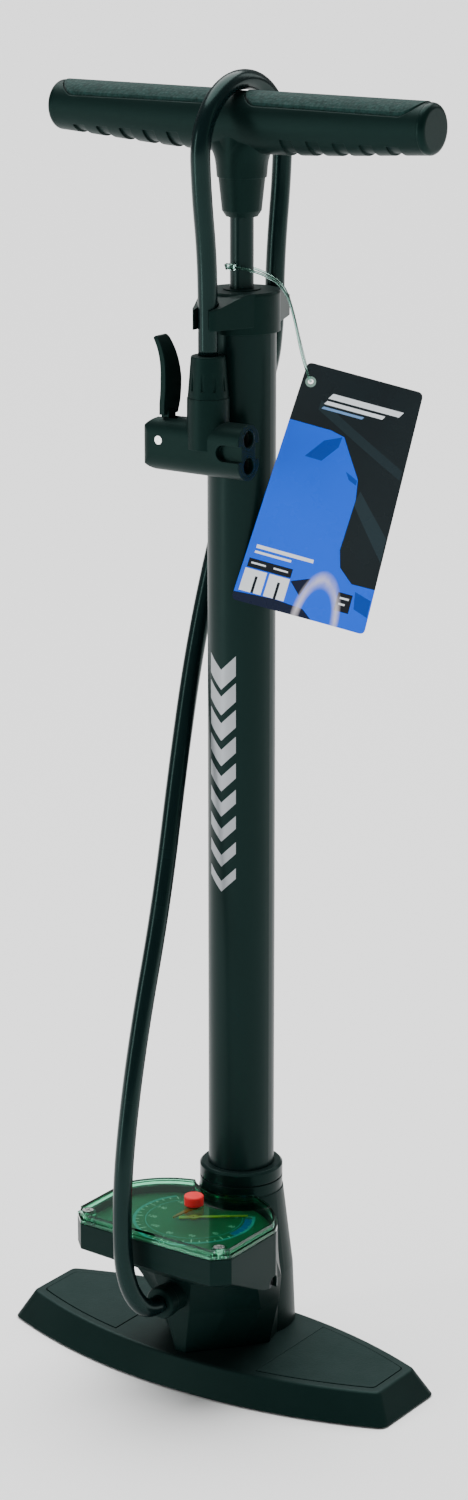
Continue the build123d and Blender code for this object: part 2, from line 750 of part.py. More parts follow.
knob_bottom = lens_top + slack
knob = slab(Circle(knob_radius), knob_bottom, knob_bottom + knob_height)
knob = fillet(knob.edges().group_by(Axis.Z)[-1], 1.0)
knob += slab(Circle(marker_shaft), lens_top - lens_wall - 1.4, knob_bottom)
save("marker_knob", Pos(0, pivot_y) * knob)
marker_angle = -94.0
marker_outline = Polyline((0, -1.5), (marker_length, -0.5), (marker_length, 0.5), (0, 1.5), close=True)
marker_face = make_face(marker_outline) + Circle(2.6)
marker_face -= Circle(marker_shaft)
marker = Rot(0, 0, marker_angle) * slab(marker_face, lens_top - lens_wall - 1.4, lens_top - lens_wall - 0.6)
save("marker_pointer", Pos(0, pivot_y) * marker)

# ------------------------------------------------------------------ hose fitting
nut_end = -boss_front - nut_length
hose_nut = rod_between((0, -boss_front, boss_height), (0, nut_end, boss_height), nut_radius)
hose_nut = fillet(hose_nut.edges().group_by(Axis.Y)[0], 1.5)
hose_nut -= rod_between((0, -boss_front + 1, boss_height), (0, nut_end - 1, boss_height), barb_radius + seat)
save("hose_nut", hose_nut)
barb = rod_between((0, -boss_front + 13, boss_height), (0, nut_end, boss_height), barb_radius)
barb -= rod_between((0, -boss_front + 14, boss_height), (0, nut_end - 1, boss_height), 1.5)
save("hose_barb", barb)

# ------------------------------------------------------------------ chuck
port_levels = [chuck_middle + port_spacing / 2, chuck_middle - port_spacing / 2]
chuck_bottom = port_levels[1] - port_radius
chuck_crest = port_levels[0] + port_radius
cheek_half = 9.2
chuck_round = 11.5
chuck_left = lever_pin_x - chuck_round
chuck_plane = Plane.XZ.offset(-chuck_y)
section_plane = Plane(origin=(chuck_left, chuck_y, 0), x_dir=(0, 1, 0), z_dir=(1, 0, 0))
section_circles = []
for level in (chuck_crest - cheek_half, chuck_bottom + cheek_half):
    section_circles += (Pos(0, level) * Circle(cheek_half)).edges()
section = section_plane * make_hull(section_circles)
body = extrude(section, port_end - chuck_left)
lower_left = 9.0
end_arc = chuck_round * math.sqrt(0.5)
side_outline = make_face([
    Line((lever_pin_x, lever_pin_z + chuck_round), (port_end + 1, lever_pin_z + chuck_round)),
    Line((port_end + 1, lever_pin_z + chuck_round), (port_end + 1, chuck_bottom)),
    Line((port_end + 1, chuck_bottom), (chuck_left + lower_left, chuck_bottom)),
    ThreePointArc((chuck_left + lower_left, chuck_bottom),
                  (chuck_left + lower_left * 0.293, chuck_bottom + lower_left * 0.293),
                  (chuck_left, chuck_bottom + lower_left)),
    Line((chuck_left, chuck_bottom + lower_left), (chuck_left, lever_pin_z)),
    ThreePointArc((chuck_left, lever_pin_z), (lever_pin_x - end_arc, lever_pin_z + end_arc),
                  (lever_pin_x, lever_pin_z + chuck_round)),
])
body = body & extrude(chuck_plane * side_outline, cheek_half + 1, both=True)
end_round = 6.0
plan_middle = (chuck_left + port_end) / 2
plan = Pos(plan_middle, chuck_y) * Rectangle(port_end - chuck_left, 2 * cheek_half)
plan = fillet(plan.vertices().sort_by(Axis.X)[:2], end_round)
chuck = body & slab(plan, chuck_bottom - 1, chuck_crest + 1)

# between the two ports the body is hollowed from each side, with a round start
port_gap_start = 11.0
port_gap_half = 4.2
port_gap_depth = 3.4
gap_length = 2 * (port_end - port_gap_start)
gap_outline = Pos(port_end, chuck_middle) * SlotOverall(gap_length, 2 * port_gap_half)
for side in (-1, 1):
    gap = extrude(chuck_plane * gap_outline, cheek_half + 1, both=True)
    near = chuck_y + side * (cheek_half - port_gap_depth)
    far = chuck_y + side * (cheek_half + 2)
    chuck -= gap & block(0, 60, min(near, far), max(near, far), chuck_bottom, chuck_crest)
socket_outline = Polyline(
    (0, chuck_middle),
    (10.9, chuck_middle),
    (10.6, boot_bottom),
    (0, boot_bottom),
    close=True,
)
chuck += Pos(0, chuck_y) * revolve(Plane.XZ * make_face(socket_outline), Axis.Z)
chuck -= Pos(0, chuck_y) * rod_between((0, 0, port_levels[0]), (0, 0, boot_bottom + 1), 2.0)
port_depth = 13.0
plunger_radius = 2.6
socket_radius = port_radius - 1.8
for level in port_levels:
    outside = (port_end + 1, chuck_y, level)
    chuck -= rod_between((port_end - port_depth, chuck_y, level), outside, socket_radius)
    chuck -= rod_between((lever_pin_x, chuck_y, level), outside, plunger_radius + slack)
slot_floor = lever_pin_z - lever_hub_radius - 1.0
slot_right = lever_pin_x + lever_hub_radius + 1.0
chuck -= block(-60, slot_right, chuck_y - slot_half, chuck_y + slot_half, slot_floor, chuck_crest + 20)
pin_ends = [(lever_pin_x, chuck_y + side * cheek_half, lever_pin_z) for side in (-1, 1)]
chuck -= rod_between(pin_ends[0], pin_ends[1], lever_pin_radius + seat)
save("chuck_body", chuck)
save("lever_pin", rod_between(pin_ends[0], pin_ends[1], lever_pin_radius))

blade_low = lever_pin_z + chuck_round + 0.8
blade_half = lever_blade / 2
tip_x = lever_pin_x - 4.6
lever_outline = make_face([
    Spline((lever_pin_x - blade_half, blade_low), (lever_pin_x + 1.4 - blade_half, 527.0),
           (lever_pin_x + 0.6 - blade_half, 541.0), (tip_x - 1.1, lever_tip_z - 1.2)),
    ThreePointArc((tip_x - 1.1, lever_tip_z - 1.2), (tip_x - 0.2, lever_tip_z),
                  (tip_x + 1.1, lever_tip_z - 0.4)),
    Spline((tip_x + 1.1, lever_tip_z - 0.4), (lever_pin_x + 0.6 + blade_half, 541.0),
           (lever_pin_x + 1.4 + blade_half, 527.0), (lever_pin_x + blade_half, blade_low)),
    Line((lever_pin_x + blade_half, blade_low), (lever_pin_x - blade_half, blade_low)),
])
half_width = lever_width / 2
blade_plan = Polyline(
    (chuck_y - half_width + 1.0, blade_low),
    (chuck_y - half_width, blade_low + 6.0),
    (chuck_y - half_width, blade_low + 18.0),
    (chuck_y - half_width + 2.4, lever_tip_z + 1.0),
    (chuck_y + half_width - 2.4, lever_tip_z + 1.0),
    (chuck_y + half_width, blade_low + 18.0),
    (chuck_y + half_width, blade_low + 6.0),
    (chuck_y + half_width - 1.0, blade_low),
    close=True,
)
blade_face = make_face(blade_plan)
blade_face = fillet(blade_face.vertices().filter_by(lambda corner: corner.Y > lever_tip_z), 3.5)
horn = extrude(chuck_plane * lever_outline, lever_width, both=True)
horn &= extrude(Plane.YZ.offset(-60) * blade_face, 60)
neck = block(lever_pin_x - 2.2, lever_pin_x + 2.2, chuck_y - slot_half + slack, chuck_y + slot_half - slack,
             lever_pin_z, blade_low + 2.0)
hub = rod_between((lever_pin_x, chuck_y - slot_half + slack, lever_pin_z),
                  (lever_pin_x, chuck_y + slot_half - slack, lever_pin_z), lever_hub_radius)
lever = horn + neck + hub
lever -= rod_between(pin_ends[0], pin_ends[1], lever_pin_radius + fit)
save("chuck_lever", lever)

plunger_travel = 2.5
plunger_tail = lever_pin_x + lever_hub_radius + 1.4
plungers = []
grommets = []
port_caps = []
cap_length = 3.0
for level in port_levels:
    plunger_tip = (port_end - port_depth - 0.5, chuck_y, level)
    plunger = rod_between((plunger_tail, chuck_y, level), plunger_tip, plunger_radius)
    plungers.append(plunger)
    seat_x = port_end - port_depth + plunger_travel
    face_x = port_end - cap_length
    grommet = rod_between((seat_x, chuck_y, level), (face_x, chuck_y, level), socket_radius - seat)
    grommet -= rod_between((seat_x - 1, chuck_y, level), (port_end, chuck_y, level), port_bore - 0.2)
    grommets.append(grommet)
    port_cap = rod_between((face_x, chuck_y, level), (port_end, chuck_y, level), socket_radius - seat)
    port_cap -= rod_between((face_x - 1, chuck_y, level), (port_end + 1, chuck_y, level), port_bore)
    port_caps.append(port_cap)
save("chuck_plungers", Compound(children=plungers))
save("port_grommets", Compound(children=grommets))
save("port_rings", Compound(children=port_caps))

boot_outline = Polyline((0, boot_bottom), (10.3, boot_bottom), (8.6, boot_top), (0, boot_top), close=True)
boot = revolve(Plane.XZ * make_face(boot_outline), Axis.Z)
boot = fillet(boot.edges().group_by(Axis.Z)[-1], 0.8)
groove_count = 10
for index in range(groove_count):
    turn = index * 360.0 / groove_count
    cutter = Rot(0, 0, turn) * block(9.2, 14.0, -0.7, 0.7, boot_bottom + 4.0, boot_top + 2)
    boot -= cutter
save("hose_boot", Pos(0, chuck_y) * boot)


# ------------------------------------------------------------------ cords
def corner_radii(points):
    """The largest arc that each corner's two runs allow, with a straight left in between."""
    radii = []
    for before, corner, after in zip(points, points[1:], points[2:]):
        incoming = Vector(*corner) - Vector(*before)
        outgoing = Vector(*after) - Vector(*corner)
        turn = math.radians(incoming.get_angle(outgoing))
        shorter = min(incoming.length, outgoing.length)
        radii.append(0.45 * shorter / math.tan(turn / 2))
    return radii


def cord(name, points, diameter):
    """A round cord along straight runs joined by tangent arcs."""
    radii = corner_radii(points)
    path = FilletPolyline(points, radius=radii)
    plane = Plane(origin=path @ 0, z_dir=path % 0)
    tube = sweep(plane * Circle(diameter / 2), path=path)
    section = math.pi * diameter ** 2 / 4
    print(name, "length", round(path.length, 1), "volume", round(tube.volume), "expected",
          round(section * path.length))
    print(name, "radii", [round(r, 1) for r in radii])
    save(name, tube)


loop_radius = 36.6
over = handle_height + grip_middle_height / 2 + hose_od / 2 + slack
hose_route = [
    (0.0, nut_end, boss_height),
    (0.0, -86.5, boss_height),
    (-3.0, -94.5, 60.5),
    (-6.5, -97.5, 75.0),
    (-9.0, -96.0, 100.0),
    (-10.5, -91.5, 138.0),
    (-12.5, -76.0, 196.0),
    (-17.0, -48.0, 262.0),
    (-26.0, -20.0, 330.0),
    (-33.0, 5.0, 386.0),
    (-33.0, 25.0, 438.0),
    (-21.0, 33.0, 494.0),
    (-4.0, 31.0, 531.0),
    (0.0, clip_reach, 557.0),
    (0.0, clip_reach, 577.0),
    (0.0, 31.3, 599.0),
    (0.0, 35.3, 628.0),
    (0.0, loop_radius, 657.1),
    (0.0, 15.1, over),
    (0.0, -15.1, over),
    (0.0, -loop_radius, 657.1),
    (0.0, -34.8, 626.0),
    (0.0, -30.6, 598.0),
    (0.0, -clip_reach, 570.0),
    (0.0, chuck_y, boot_top),
]
cord("hose", hose_route, hose_od)

# ------------------------------------------------------------------ hang tag
facing = math.radians(tag_facing)
tag_normal = Vector(math.sin(facing), -math.cos(facing), 0)
tag_across = Vector(math.cos(facing), math.sin(facing), 0)
tag_corner_along = 33.0
tag_corner_height = 542.0
tag_origin = tag_normal * tag_reach + tag_across * tag_corner_along + Vector(0, 0, tag_corner_height)
tilt = math.radians(tag_tilt)
tag_along = tag_across * math.cos(tilt) - Vector(0, 0, math.sin(tilt))
tag_plane = Plane(origin=tag_origin, x_dir=tag_along, z_dir=tag_normal)
tag_flare = (tag_bottom_width - tag_top_width) / 2
tag_outline = Polyline(
    (0, 0),
    (tag_top_width, 0),
    (tag_top_width + tag_flare, -tag_length),
    (-tag_flare, -tag_length),
    close=True,
)
card = make_face(tag_outline)
card = fillet(card.vertices(), 3.0)
hole_across = 4.0
hole_down = 9.2
card -= Pos(hole_across, -hole_down) * Circle(tag_hole_radius + 0.7)
save("hang_tag", extrude(tag_plane * card, tag_thickness / 2, both=True))
eyelet_half = tag_thickness / 2 + 0.4
eyelet = Pos(hole_across, -hole_down) * (Circle(tag_hole_radius + 1.3) - Circle(tag_hole_radius))
eyelet = extrude(tag_plane * eyelet, eyelet_half, both=True)
eyelet -= extrude(tag_plane * (Pos(hole_across, -hole_down) * (Circle(8) - Circle(tag_hole_radius + 0.65))),
                  tag_thickness / 2 + 0.01, both=True)
save("tag_eyelet", eyelet)

loop_route = [
    (1.4, -8.3, 587.4),
    (7.2, -6.0, 586.6),
    (13.3, -1.7, 584.2),
    (19.8, 2.1, 580.5),
    (25.7, 3.2, 574.0),
    (31.2, 1.5, 562.0),
    (35.9, -0.1, 547.0),
    (39.7, -0.1, 537.0),
    (40.1, 1.7, 533.0),
    (39.5, 3.5, 532.0),
    (37.9, 4.8, 533.2),
    (35.4, 4.2, 541.5),
    (31.4, 4.1, 555.0),
    (26.3, 6.0, 568.0),
    (20.5, 8.1, 577.5),
    (12.6, 8.1, 582.0),
    (4.2, 8.9, 584.5),
    (-4.3, 8.0, 586.0),
    (-9.0, 1.7, 587.0),
    (-7.1, -5.5, 587.6),
    (-3.1, -8.9, 587.6),
]
cord("tag_loop", loop_route, loop_diameter)
clasp_radius = 1.7
save("tag_clasp", rod_between(loop_route[-1], loop_route[0], clasp_radius))

os.makedirs("parts", exist_ok=True)
for name, shape in nodes.items():
    export_step(shape, "parts/" + name + ".step")
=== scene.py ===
"""Floor bike pump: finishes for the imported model, its hose, hang tag and prints, and a plain stage."""
import math

import bpy
import numpy as np
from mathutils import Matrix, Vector


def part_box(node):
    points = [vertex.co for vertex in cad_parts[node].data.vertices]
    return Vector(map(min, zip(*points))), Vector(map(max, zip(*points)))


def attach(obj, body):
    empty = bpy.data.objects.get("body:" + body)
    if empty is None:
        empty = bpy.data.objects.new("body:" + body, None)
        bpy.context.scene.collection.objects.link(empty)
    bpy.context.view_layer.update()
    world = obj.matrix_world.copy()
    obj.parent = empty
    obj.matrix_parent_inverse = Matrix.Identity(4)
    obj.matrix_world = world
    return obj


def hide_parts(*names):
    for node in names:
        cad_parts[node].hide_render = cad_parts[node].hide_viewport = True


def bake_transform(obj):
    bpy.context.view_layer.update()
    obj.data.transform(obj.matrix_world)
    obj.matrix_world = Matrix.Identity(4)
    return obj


bl_info = {
    "name": "Floor Pump Dressing",
    "version": (1, 0, 0),
    "blender": (4, 5, 0),
    "location": "View3D > Sidebar > Pump",
    "description": "Hose, hang tag, dial print and finishes for a floor bike pump",
    "category": "Object",
}

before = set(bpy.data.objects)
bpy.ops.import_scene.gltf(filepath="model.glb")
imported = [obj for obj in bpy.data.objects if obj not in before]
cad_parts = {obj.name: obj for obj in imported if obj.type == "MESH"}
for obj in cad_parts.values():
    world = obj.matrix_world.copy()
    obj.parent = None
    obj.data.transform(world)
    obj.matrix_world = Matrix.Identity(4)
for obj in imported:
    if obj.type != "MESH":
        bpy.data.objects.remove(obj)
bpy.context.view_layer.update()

INK_LIFT = 0.00004              # how far printed patches stand off the surface that they lie on
CARD_CORNER_FORWARD = 0.0195    # from the barrel's axis to the card's top left corner, the way that it faces
CARD_CORNER_SIDEWAYS = 0.033
CARD_CORNER_HEIGHT = 0.542
CARD_HOLE = (0.004, 0.0092)     # across and down from the card's top left corner
CARD_HOLE_RADIUS = 0.0021
CARD_CURL = 0.0024              # how far the card's lower right corner curls forward

# The hose's route in metres, from the nut under the gauge to the boot above the chuck.
HOSE_ROUTE = [
    (0.0, -0.076, 0.051),
    (0.0, -0.0865, 0.051),
    (-0.003, -0.0945, 0.0605),
    (-0.0065, -0.0975, 0.075),
    (-0.009, -0.096, 0.1),
    (-0.0105, -0.0915, 0.138),
    (-0.0125, -0.076, 0.196),
    (-0.017, -0.048, 0.262),
    (-0.026, -0.02, 0.33),
    (-0.033, 0.005, 0.386),
    (-0.033, 0.025, 0.438),
    (-0.021, 0.033, 0.494),
    (-0.004, 0.031, 0.531),
    (0.0, 0.0295, 0.557),
    (0.0, 0.0295, 0.577),
    (0.0, 0.0313, 0.599),
    (0.0, 0.0353, 0.628),
    (0.0, 0.0366, 0.6571),
    (0.0, 0.0151, 0.6791),
    (0.0, -0.0151, 0.6791),
    (0.0, -0.0366, 0.6571),
    (0.0, -0.0348, 0.626),
    (0.0, -0.0306, 0.598),
    (0.0, -0.0295, 0.57),
    (0.0, -0.0295, 0.546),
]

# The tag's loop in metres, once round the rod from one side of its clasp to the other.
LOOP_ROUTE = [
    (0.0014, -0.0083, 0.5874),
    (0.0072, -0.006, 0.5866),
    (0.0133, -0.0017, 0.5842),
    (0.0198, 0.0021, 0.5805),
    (0.0257, 0.0032, 0.574),
    (0.0312, 0.0015, 0.562),
    (0.0359, -0.0001, 0.547),
    (0.0397, -0.0001, 0.537),
    (0.0401, 0.0017, 0.533),
    (0.0395, 0.0035, 0.532),
    (0.0379, 0.0048, 0.5332),
    (0.0354, 0.0042, 0.5415),
    (0.0314, 0.0041, 0.555),
    (0.0263, 0.006, 0.568),
    (0.0205, 0.0081, 0.5775),
    (0.0126, 0.0081, 0.582),
    (0.0042, 0.0089, 0.5845),
    (-0.0043, 0.008, 0.586),
    (-0.009, 0.0017, 0.587),
    (-0.0071, -0.0055, 0.5876),
    (-0.0031, -0.0089, 0.5876),
]


# ------------------------------------------------------------------ settings
def length(label, text, default):
    """A property that holds a length in metres."""
    return bpy.props.FloatProperty(
        name=label, description=text, default=default, unit="LENGTH", precision=5
    )


def turn(label, text, degrees):
    """A property that holds an angle."""
    return bpy.props.FloatProperty(
        name=label, description=text, default=math.radians(degrees), subtype="ANGLE"
    )


def colour(label, text, default):
    """A property that holds a linear colour."""
    return bpy.props.FloatVectorProperty(
        name=label, description=text, default=default, subtype="COLOR", size=3, min=0.0, max=1.0
    )


class PumpColours(bpy.types.PropertyGroup):
    """Colours of the pump's finishes."""

    body: colour("Body", "Moulded black plastic of the foot, tower, cap and handle", (0.0028, 0.0095, 0.0085))
    barrel: colour("Barrel", "Powder coat of the barrel", (0.0034, 0.0110, 0.0105))
    rod: colour("Rod", "Paint of the plunger rod", (0.0040, 0.0125, 0.0120))
    hose: colour("Hose", "Rubber of the hose", (0.0022, 0.0070, 0.0075))
    rubber: colour("Grip rubber", "Grained rubber of the grip pads and foot pads", (0.0065, 0.0200, 0.0180))
    silver: colour("Silver print", "Silver print on the barrel", (0.30, 0.32, 0.34))
    dial: colour("Dial", "Ground of the gauge dial", (0.004, 0.078, 0.034))
    scale: colour("Scale", "Printed scale ring of the dial", (0.02, 0.30, 0.34))
    needle: colour("Needle", "Painted needle", (0.85, 0.55, 0.04))
    knob: colour("Knob", "Red marker knob", (0.75, 0.030, 0.035))
    marker: colour("Marker", "Orange marker pointer", (0.80, 0.14, 0.03))
    lens: colour("Lens", "Clear lens plastic", (0.42, 0.92, 0.68))
    card: colour("Card", "Dark ground of the hang tag", (0.006, 0.013, 0.016))
    card_blue: colour("Card blue", "Blue panel of the hang tag", (0.0, 0.105, 0.86))
    loop: colour("Loop", "Translucent plastic of the tag's loop", (0.55, 0.80, 0.72))


class PumpSizes(bpy.types.PropertyGroup):
    """Sizes of the pieces that are made here."""

    hose_diameter: length("Hose diameter", "Outside of the hose", 0.010)
    loop_diameter: length("Loop diameter", "Outside of the tag's loop", 0.0013)
    card_top: length("Card top width", "Hang tag's width along its top", 0.060)
    card_bottom: length("Card bottom width", "Hang tag's width along its bottom", 0.070)
    card_length: length("Card length", "Hang tag's height", 0.127)
    card_thickness: length("Card thickness", "Hang tag's board", 0.0006)
    card_corner: length("Card corner", "Rounding of the tag's corners", 0.003)
    card_bow: length("Card bow", "How far the card bows forward at its middle", 0.0022)
    card_turn: turn("Card facing", "Turn of the card about the vertical", 34.6)
    card_tilt: turn("Card tilt", "Lean of the card in its own plane", 15.3)
    scale_radius: length("Scale radius", "Middle radius of the printed scale", 0.0317)
    scale_width: length("Scale width", "Width of the printed scale ring", 0.0016)
    needle_start: turn("Scale start", "Direction of the scale's zero from +X", 38.5)
    needle_sweep: turn("Scale sweep", "Angle that the scale covers", 256.0)
    print_width: length("Print width", "Width of the barrel's print round its front", 0.0165)
    print_angle: turn("Print angle", "Direction that the barrel's print faces, from +X", -92.0)
    print_top: length("Print top", "Height of the barrel's print", 0.386)
    print_pitch: length("Print pitch", "Distance from one chevron to the next", 0.0142)
    print_bar: length("Print bar", "Height of the widest chevron's bars", 0.0105)
    print_lean: length("Print lean", "How far each bar leans across its width", 0.008)
    print_count: bpy.props.IntProperty(name="Print count", description="Number of chevrons", default=9)


class StageSettings(bpy.types.PropertyGroup):
    """Floor, camera and lights."""

    floor_size: length("Floor size", "Side of the square floor", 40.0)
    camera_place: bpy.props.FloatVectorProperty(
        name="Camera place",
        description="Where the camera stands",
        default=(0.9951, -1.4429, 0.8317),
        unit="LENGTH",
    )
    camera_heading: turn("Camera heading", "Turn of the view about the vertical", 34.72)
    camera_pitch: turn("Camera pitch", "How far the view looks down", 15.81)
    camera_lens: bpy.props.FloatProperty(
        name="Lens",
        description="Focal length for a 36 mm long side",
        default=84.11,
        subtype="DISTANCE_CAMERA",
    )
    floor_colour: colour("Floor colour", "Pale floor", (0.92, 0.92, 0.92))
    room_strength: bpy.props.FloatProperty(
        name="Room", description="Brightness of the soft room", default=0.22
    )
    daylight_strength: bpy.props.FloatProperty(
        name="Daylight", description="Soft light from above", default=6.0
    )


def colours():
    """The colour settings in use."""
    return bpy.context.scene.pump_colours


def sizes():
    """The size settings in use."""
    return bpy.context.scene.pump_sizes


# ------------------------------------------------------------------ shader groups
def add_group(name, inputs, outputs):
    """An empty shader group with float inputs (name, value) and outputs (name, socket type)."""
    group = bpy.data.node_groups.new(name, "ShaderNodeTree")
    for label, value in inputs:
        socket = group.interface.new_socket(name=label, in_out="INPUT", socket_type="NodeSocketFloat")
        socket.default_value = value
    for label, kind in outputs:
        group.interface.new_socket(name=label, in_out="OUTPUT", socket_type=kind)
    entry = group.nodes.new("NodeGroupInput")
    leave = group.nodes.new("NodeGroupOutput")
    return group, entry, leave


def math_node(tree, operation, first, second=0.0, clamp=False):
    """A Math node whose inputs are sockets or plain numbers; returns its output."""
    node = tree.nodes.new("ShaderNodeMath")
    node.operation = operation
    node.use_clamp = clamp
    for socket, value in zip(node.inputs, (first, second)):
        if isinstance(value, (int, float)):
            socket.default_value = value
        else:
            tree.links.new(value, socket)
    return node.outputs[0]


def noise_node(tree, vector, scale, detail=3.0, roughness=0.55):
    """A Noise Texture read at a vector; scale is a socket or a number; returns its value output."""
    node = tree.nodes.new("ShaderNodeTexNoise")
    node.inputs["Detail"].default_value = detail
    node.inputs["Roughness"].default_value = roughness
    tree.links.new(vector, node.inputs["Vector"])
    if isinstance(scale, (int, float)):
        node.inputs["Scale"].default_value = scale
    else:
        tree.links.new(scale, node.inputs["Scale"])
    return node.outputs["Fac"]


def grain_group():
    """Moulded grain: fine pits from one noise, and slow mottling from another."""
    group, entry, leave = add_group(
        "Moulded grain",
        [("Grain scale", 1400.0), ("Mottle scale", 22.0)],
        [("Height", "NodeSocketFloat"), ("Mottle", "NodeSocketFloat")],
    )
    place = group.nodes.new("ShaderNodeTexCoord").outputs["Object"]
    fine = noise_node(group, place, entry.outputs["Grain scale"], 2.0)
    slow = noise_node(group, place, entry.outputs["Mottle scale"], 4.0)
    group.links.new(fine, leave.inputs["Height"])
    group.links.new(slow, leave.inputs["Mottle"])
    return group


def dust_group():
    """Dust on faces that look up: the face's upward share, broken up by noise."""
    group, entry, leave = add_group(
        "Upward dust", [("Amount", 0.3), ("Scale", 60.0)], [("Mask", "NodeSocketFloat")]
    )
    normal = group.nodes.new("ShaderNodeNewGeometry").outputs["Normal"]
    split = group.nodes.new("ShaderNodeSeparateXYZ")
    group.links.new(normal, split.inputs[0])
    upward = math_node(group, "POWER", math_node(group, "MAXIMUM", split.outputs["Z"], 0.0), 3.0)
    place = group.nodes.new("ShaderNodeTexCoord").outputs["Object"]
    patchy = noise_node(group, place, entry.outputs["Scale"], 5.0, 0.7)
    broken = math_node(group, "MULTIPLY", upward, patchy)
    mask = math_node(group, "MULTIPLY", broken, entry.outputs["Amount"], True)
    group.links.new(mask, leave.inputs["Mask"])
    return group


def wear_group():
    """Edge wear and painted highlight: where a rounded normal parts from the flat one, broken up by noise."""
    group, entry, leave = add_group(
        "Edge wear", [("Radius", 0.0008), ("Amount", 0.5)], [("Mask", "NodeSocketFloat")]
    )
    bevel = group.nodes.new("ShaderNodeBevel")
    bevel.samples = 4
    group.links.new(entry.outputs["Radius"], bevel.inputs["Radius"])
    flat = group.nodes.new("ShaderNodeNewGeometry").outputs["Normal"]
    dot = group.nodes.new("ShaderNodeVectorMath")
    dot.operation = "DOT_PRODUCT"
    group.links.new(bevel.outputs["Normal"], dot.inputs[0])
    group.links.new(flat, dot.inputs[1])
    parting = math_node(group, "SUBTRACT", 1.0, dot.outputs["Value"], True)
    place = group.nodes.new("ShaderNodeTexCoord").outputs["Object"]
    patchy = noise_node(group, place, 180.0, 4.0, 0.7)
    worn_and_lit_edge = math_node(group, "MULTIPLY", math_node(group, "MULTIPLY", parting, 6.0, True), patchy)
    group.links.new(math_node(group, "MULTIPLY", worn_and_lit_edge, entry.outputs["Amount"], True), leave.inputs["Mask"])
    return group


SHARED_GROUPS = {}


def shared(name):
    """One of the shared groups, built the first time that it is wanted."""
    makers = {"grain": grain_group, "dust": dust_group, "wear_and_highlight": wear_group}
    if name not in SHARED_GROUPS:
        SHARED_GROUPS[name] = makers[name]()
    return SHARED_GROUPS[name]


def use_group(tree, name, **values):
    """Places a shared group in a material, with its values."""
    node = tree.nodes.new("ShaderNodeGroup")
    node.node_tree = shared(name)
    for label, value in values.items():
        node.inputs[label.replace("_", " ").capitalize()].default_value = value
    return node


def mix_colour(tree, share, first, second):
    """A Mix node of two colours, each a socket or a linear colour; returns its output."""
    node = tree.nodes.new("ShaderNodeMix")
    node.data_type = "RGBA"
    tree.links.new(share, node.inputs["Factor"])
    for socket, value in ((node.inputs[6], first), (node.inputs[7], second)):
        if isinstance(value, bpy.types.NodeSocket):
            tree.links.new(value, socket)
        else:
            socket.default_value = (*value[:3], 1.0)
    return node.outputs[2]


def spread(tree, value, low, high):
    """Maps a value from 0 to 1 onto low to high."""
    node = tree.nodes.new("ShaderNodeMapRange")
    node.inputs["To Min"].default_value = low
    node.inputs["To Max"].default_value = high
    tree.links.new(value, node.inputs["Value"])
    return node.outputs["Result"]


def bump(tree, height, distance, strength, base=None):
    """A Bump node on a height; returns its normal."""
    node = tree.nodes.new("ShaderNodeBump")
    node.inputs["Strength"].default_value = strength
    node.inputs["Distance"].default_value = distance
    tree.links.new(height, node.inputs["Height"])
    if base is not None:
        tree.links.new(base, node.inputs["Normal"])
    return node.outputs["Normal"]


def new_material(name):
    """A material with its Principled shader."""
    made = bpy.data.materials.new(name)
    made.use_nodes = True
    shader = made.node_tree.nodes["Principled BSDF"]
    return made, made.node_tree, shader


def soften_shine(shader, level=0.10, tint=(0.45, 1.0, 0.88)):
    """Lowers a dark finish's mirror-like share and tints its reflections green, a painted reflection colour.
    """
    shader.inputs["Specular IOR Level"].default_value = level
    shader.inputs["Specular Tint"].default_value = (*tint, 1.0)


def scaled(value, factor):
    """A colour made lighter or darker."""
    return tuple(min(1.0, channel * factor) for channel in value)


def moulded(name, base, roughness, grain=1400.0, grain_depth=0.00008, soft_edge=0.0006, wear_and_highlight=0.25,
            dust=0.1):
    """Moulded plastic or rubber: grain, mottled gloss, softened edges, edges lightened as wear and painted
    highlight, and a little dust.
    """
    made, tree, shader = new_material(name)
    texture = use_group(tree, "grain", grain_scale=grain)
    worn_and_lit_edge = use_group(tree, "wear_and_highlight", radius=soft_edge, amount=wear_and_highlight)
    dusty = use_group(tree, "dust", amount=dust)
    tone = mix_colour(tree, texture.outputs["Mottle"], scaled(base, 0.75), scaled(base, 1.3))
    # Edges are lightened to five times the base colour: partly edge wear, partly a painted highlight.
    tone = mix_colour(tree, worn_and_lit_edge.outputs["Mask"], tone, scaled(base, 5.0))
    tone = mix_colour(tree, dusty.outputs["Mask"], tone, (0.10, 0.14, 0.14))
    tree.links.new(tone, shader.inputs["Base Color"])
    gloss = spread(tree, texture.outputs["Mottle"], roughness - 0.07, roughness + 0.09)
    tree.links.new(gloss, shader.inputs["Roughness"])
    edge = tree.nodes.new("ShaderNodeBevel")
    edge.samples = 4
    edge.inputs["Radius"].default_value = soft_edge
    tree.links.new(bump(tree, texture.outputs["Height"], grain_depth, 0.6, edge.outputs["Normal"]),
                   shader.inputs["Normal"])
    soften_shine(shader)
    return made


def painted(name, base, roughness, coat, flow=320.0):
    """Sprayed paint: orange peel, faint mottling and a clear coat."""
    made, tree, shader = new_material(name)
    texture = use_group(tree, "grain", grain_scale=flow, mottle_scale=9.0)
    tone = mix_colour(tree, texture.outputs["Mottle"], scaled(base, 0.8), scaled(base, 1.25))
    tree.links.new(tone, shader.inputs["Base Color"])
    tree.links.new(spread(tree, texture.outputs["Mottle"], roughness - 0.05, roughness + 0.08),
                   shader.inputs["Roughness"])
    shader.inputs["Coat Weight"].default_value = coat
    shader.inputs["Coat Roughness"].default_value = 0.22
    tree.links.new(bump(tree, texture.outputs["Height"], 0.00006, 0.35), shader.inputs["Normal"])
    soften_shine(shader)
    return made


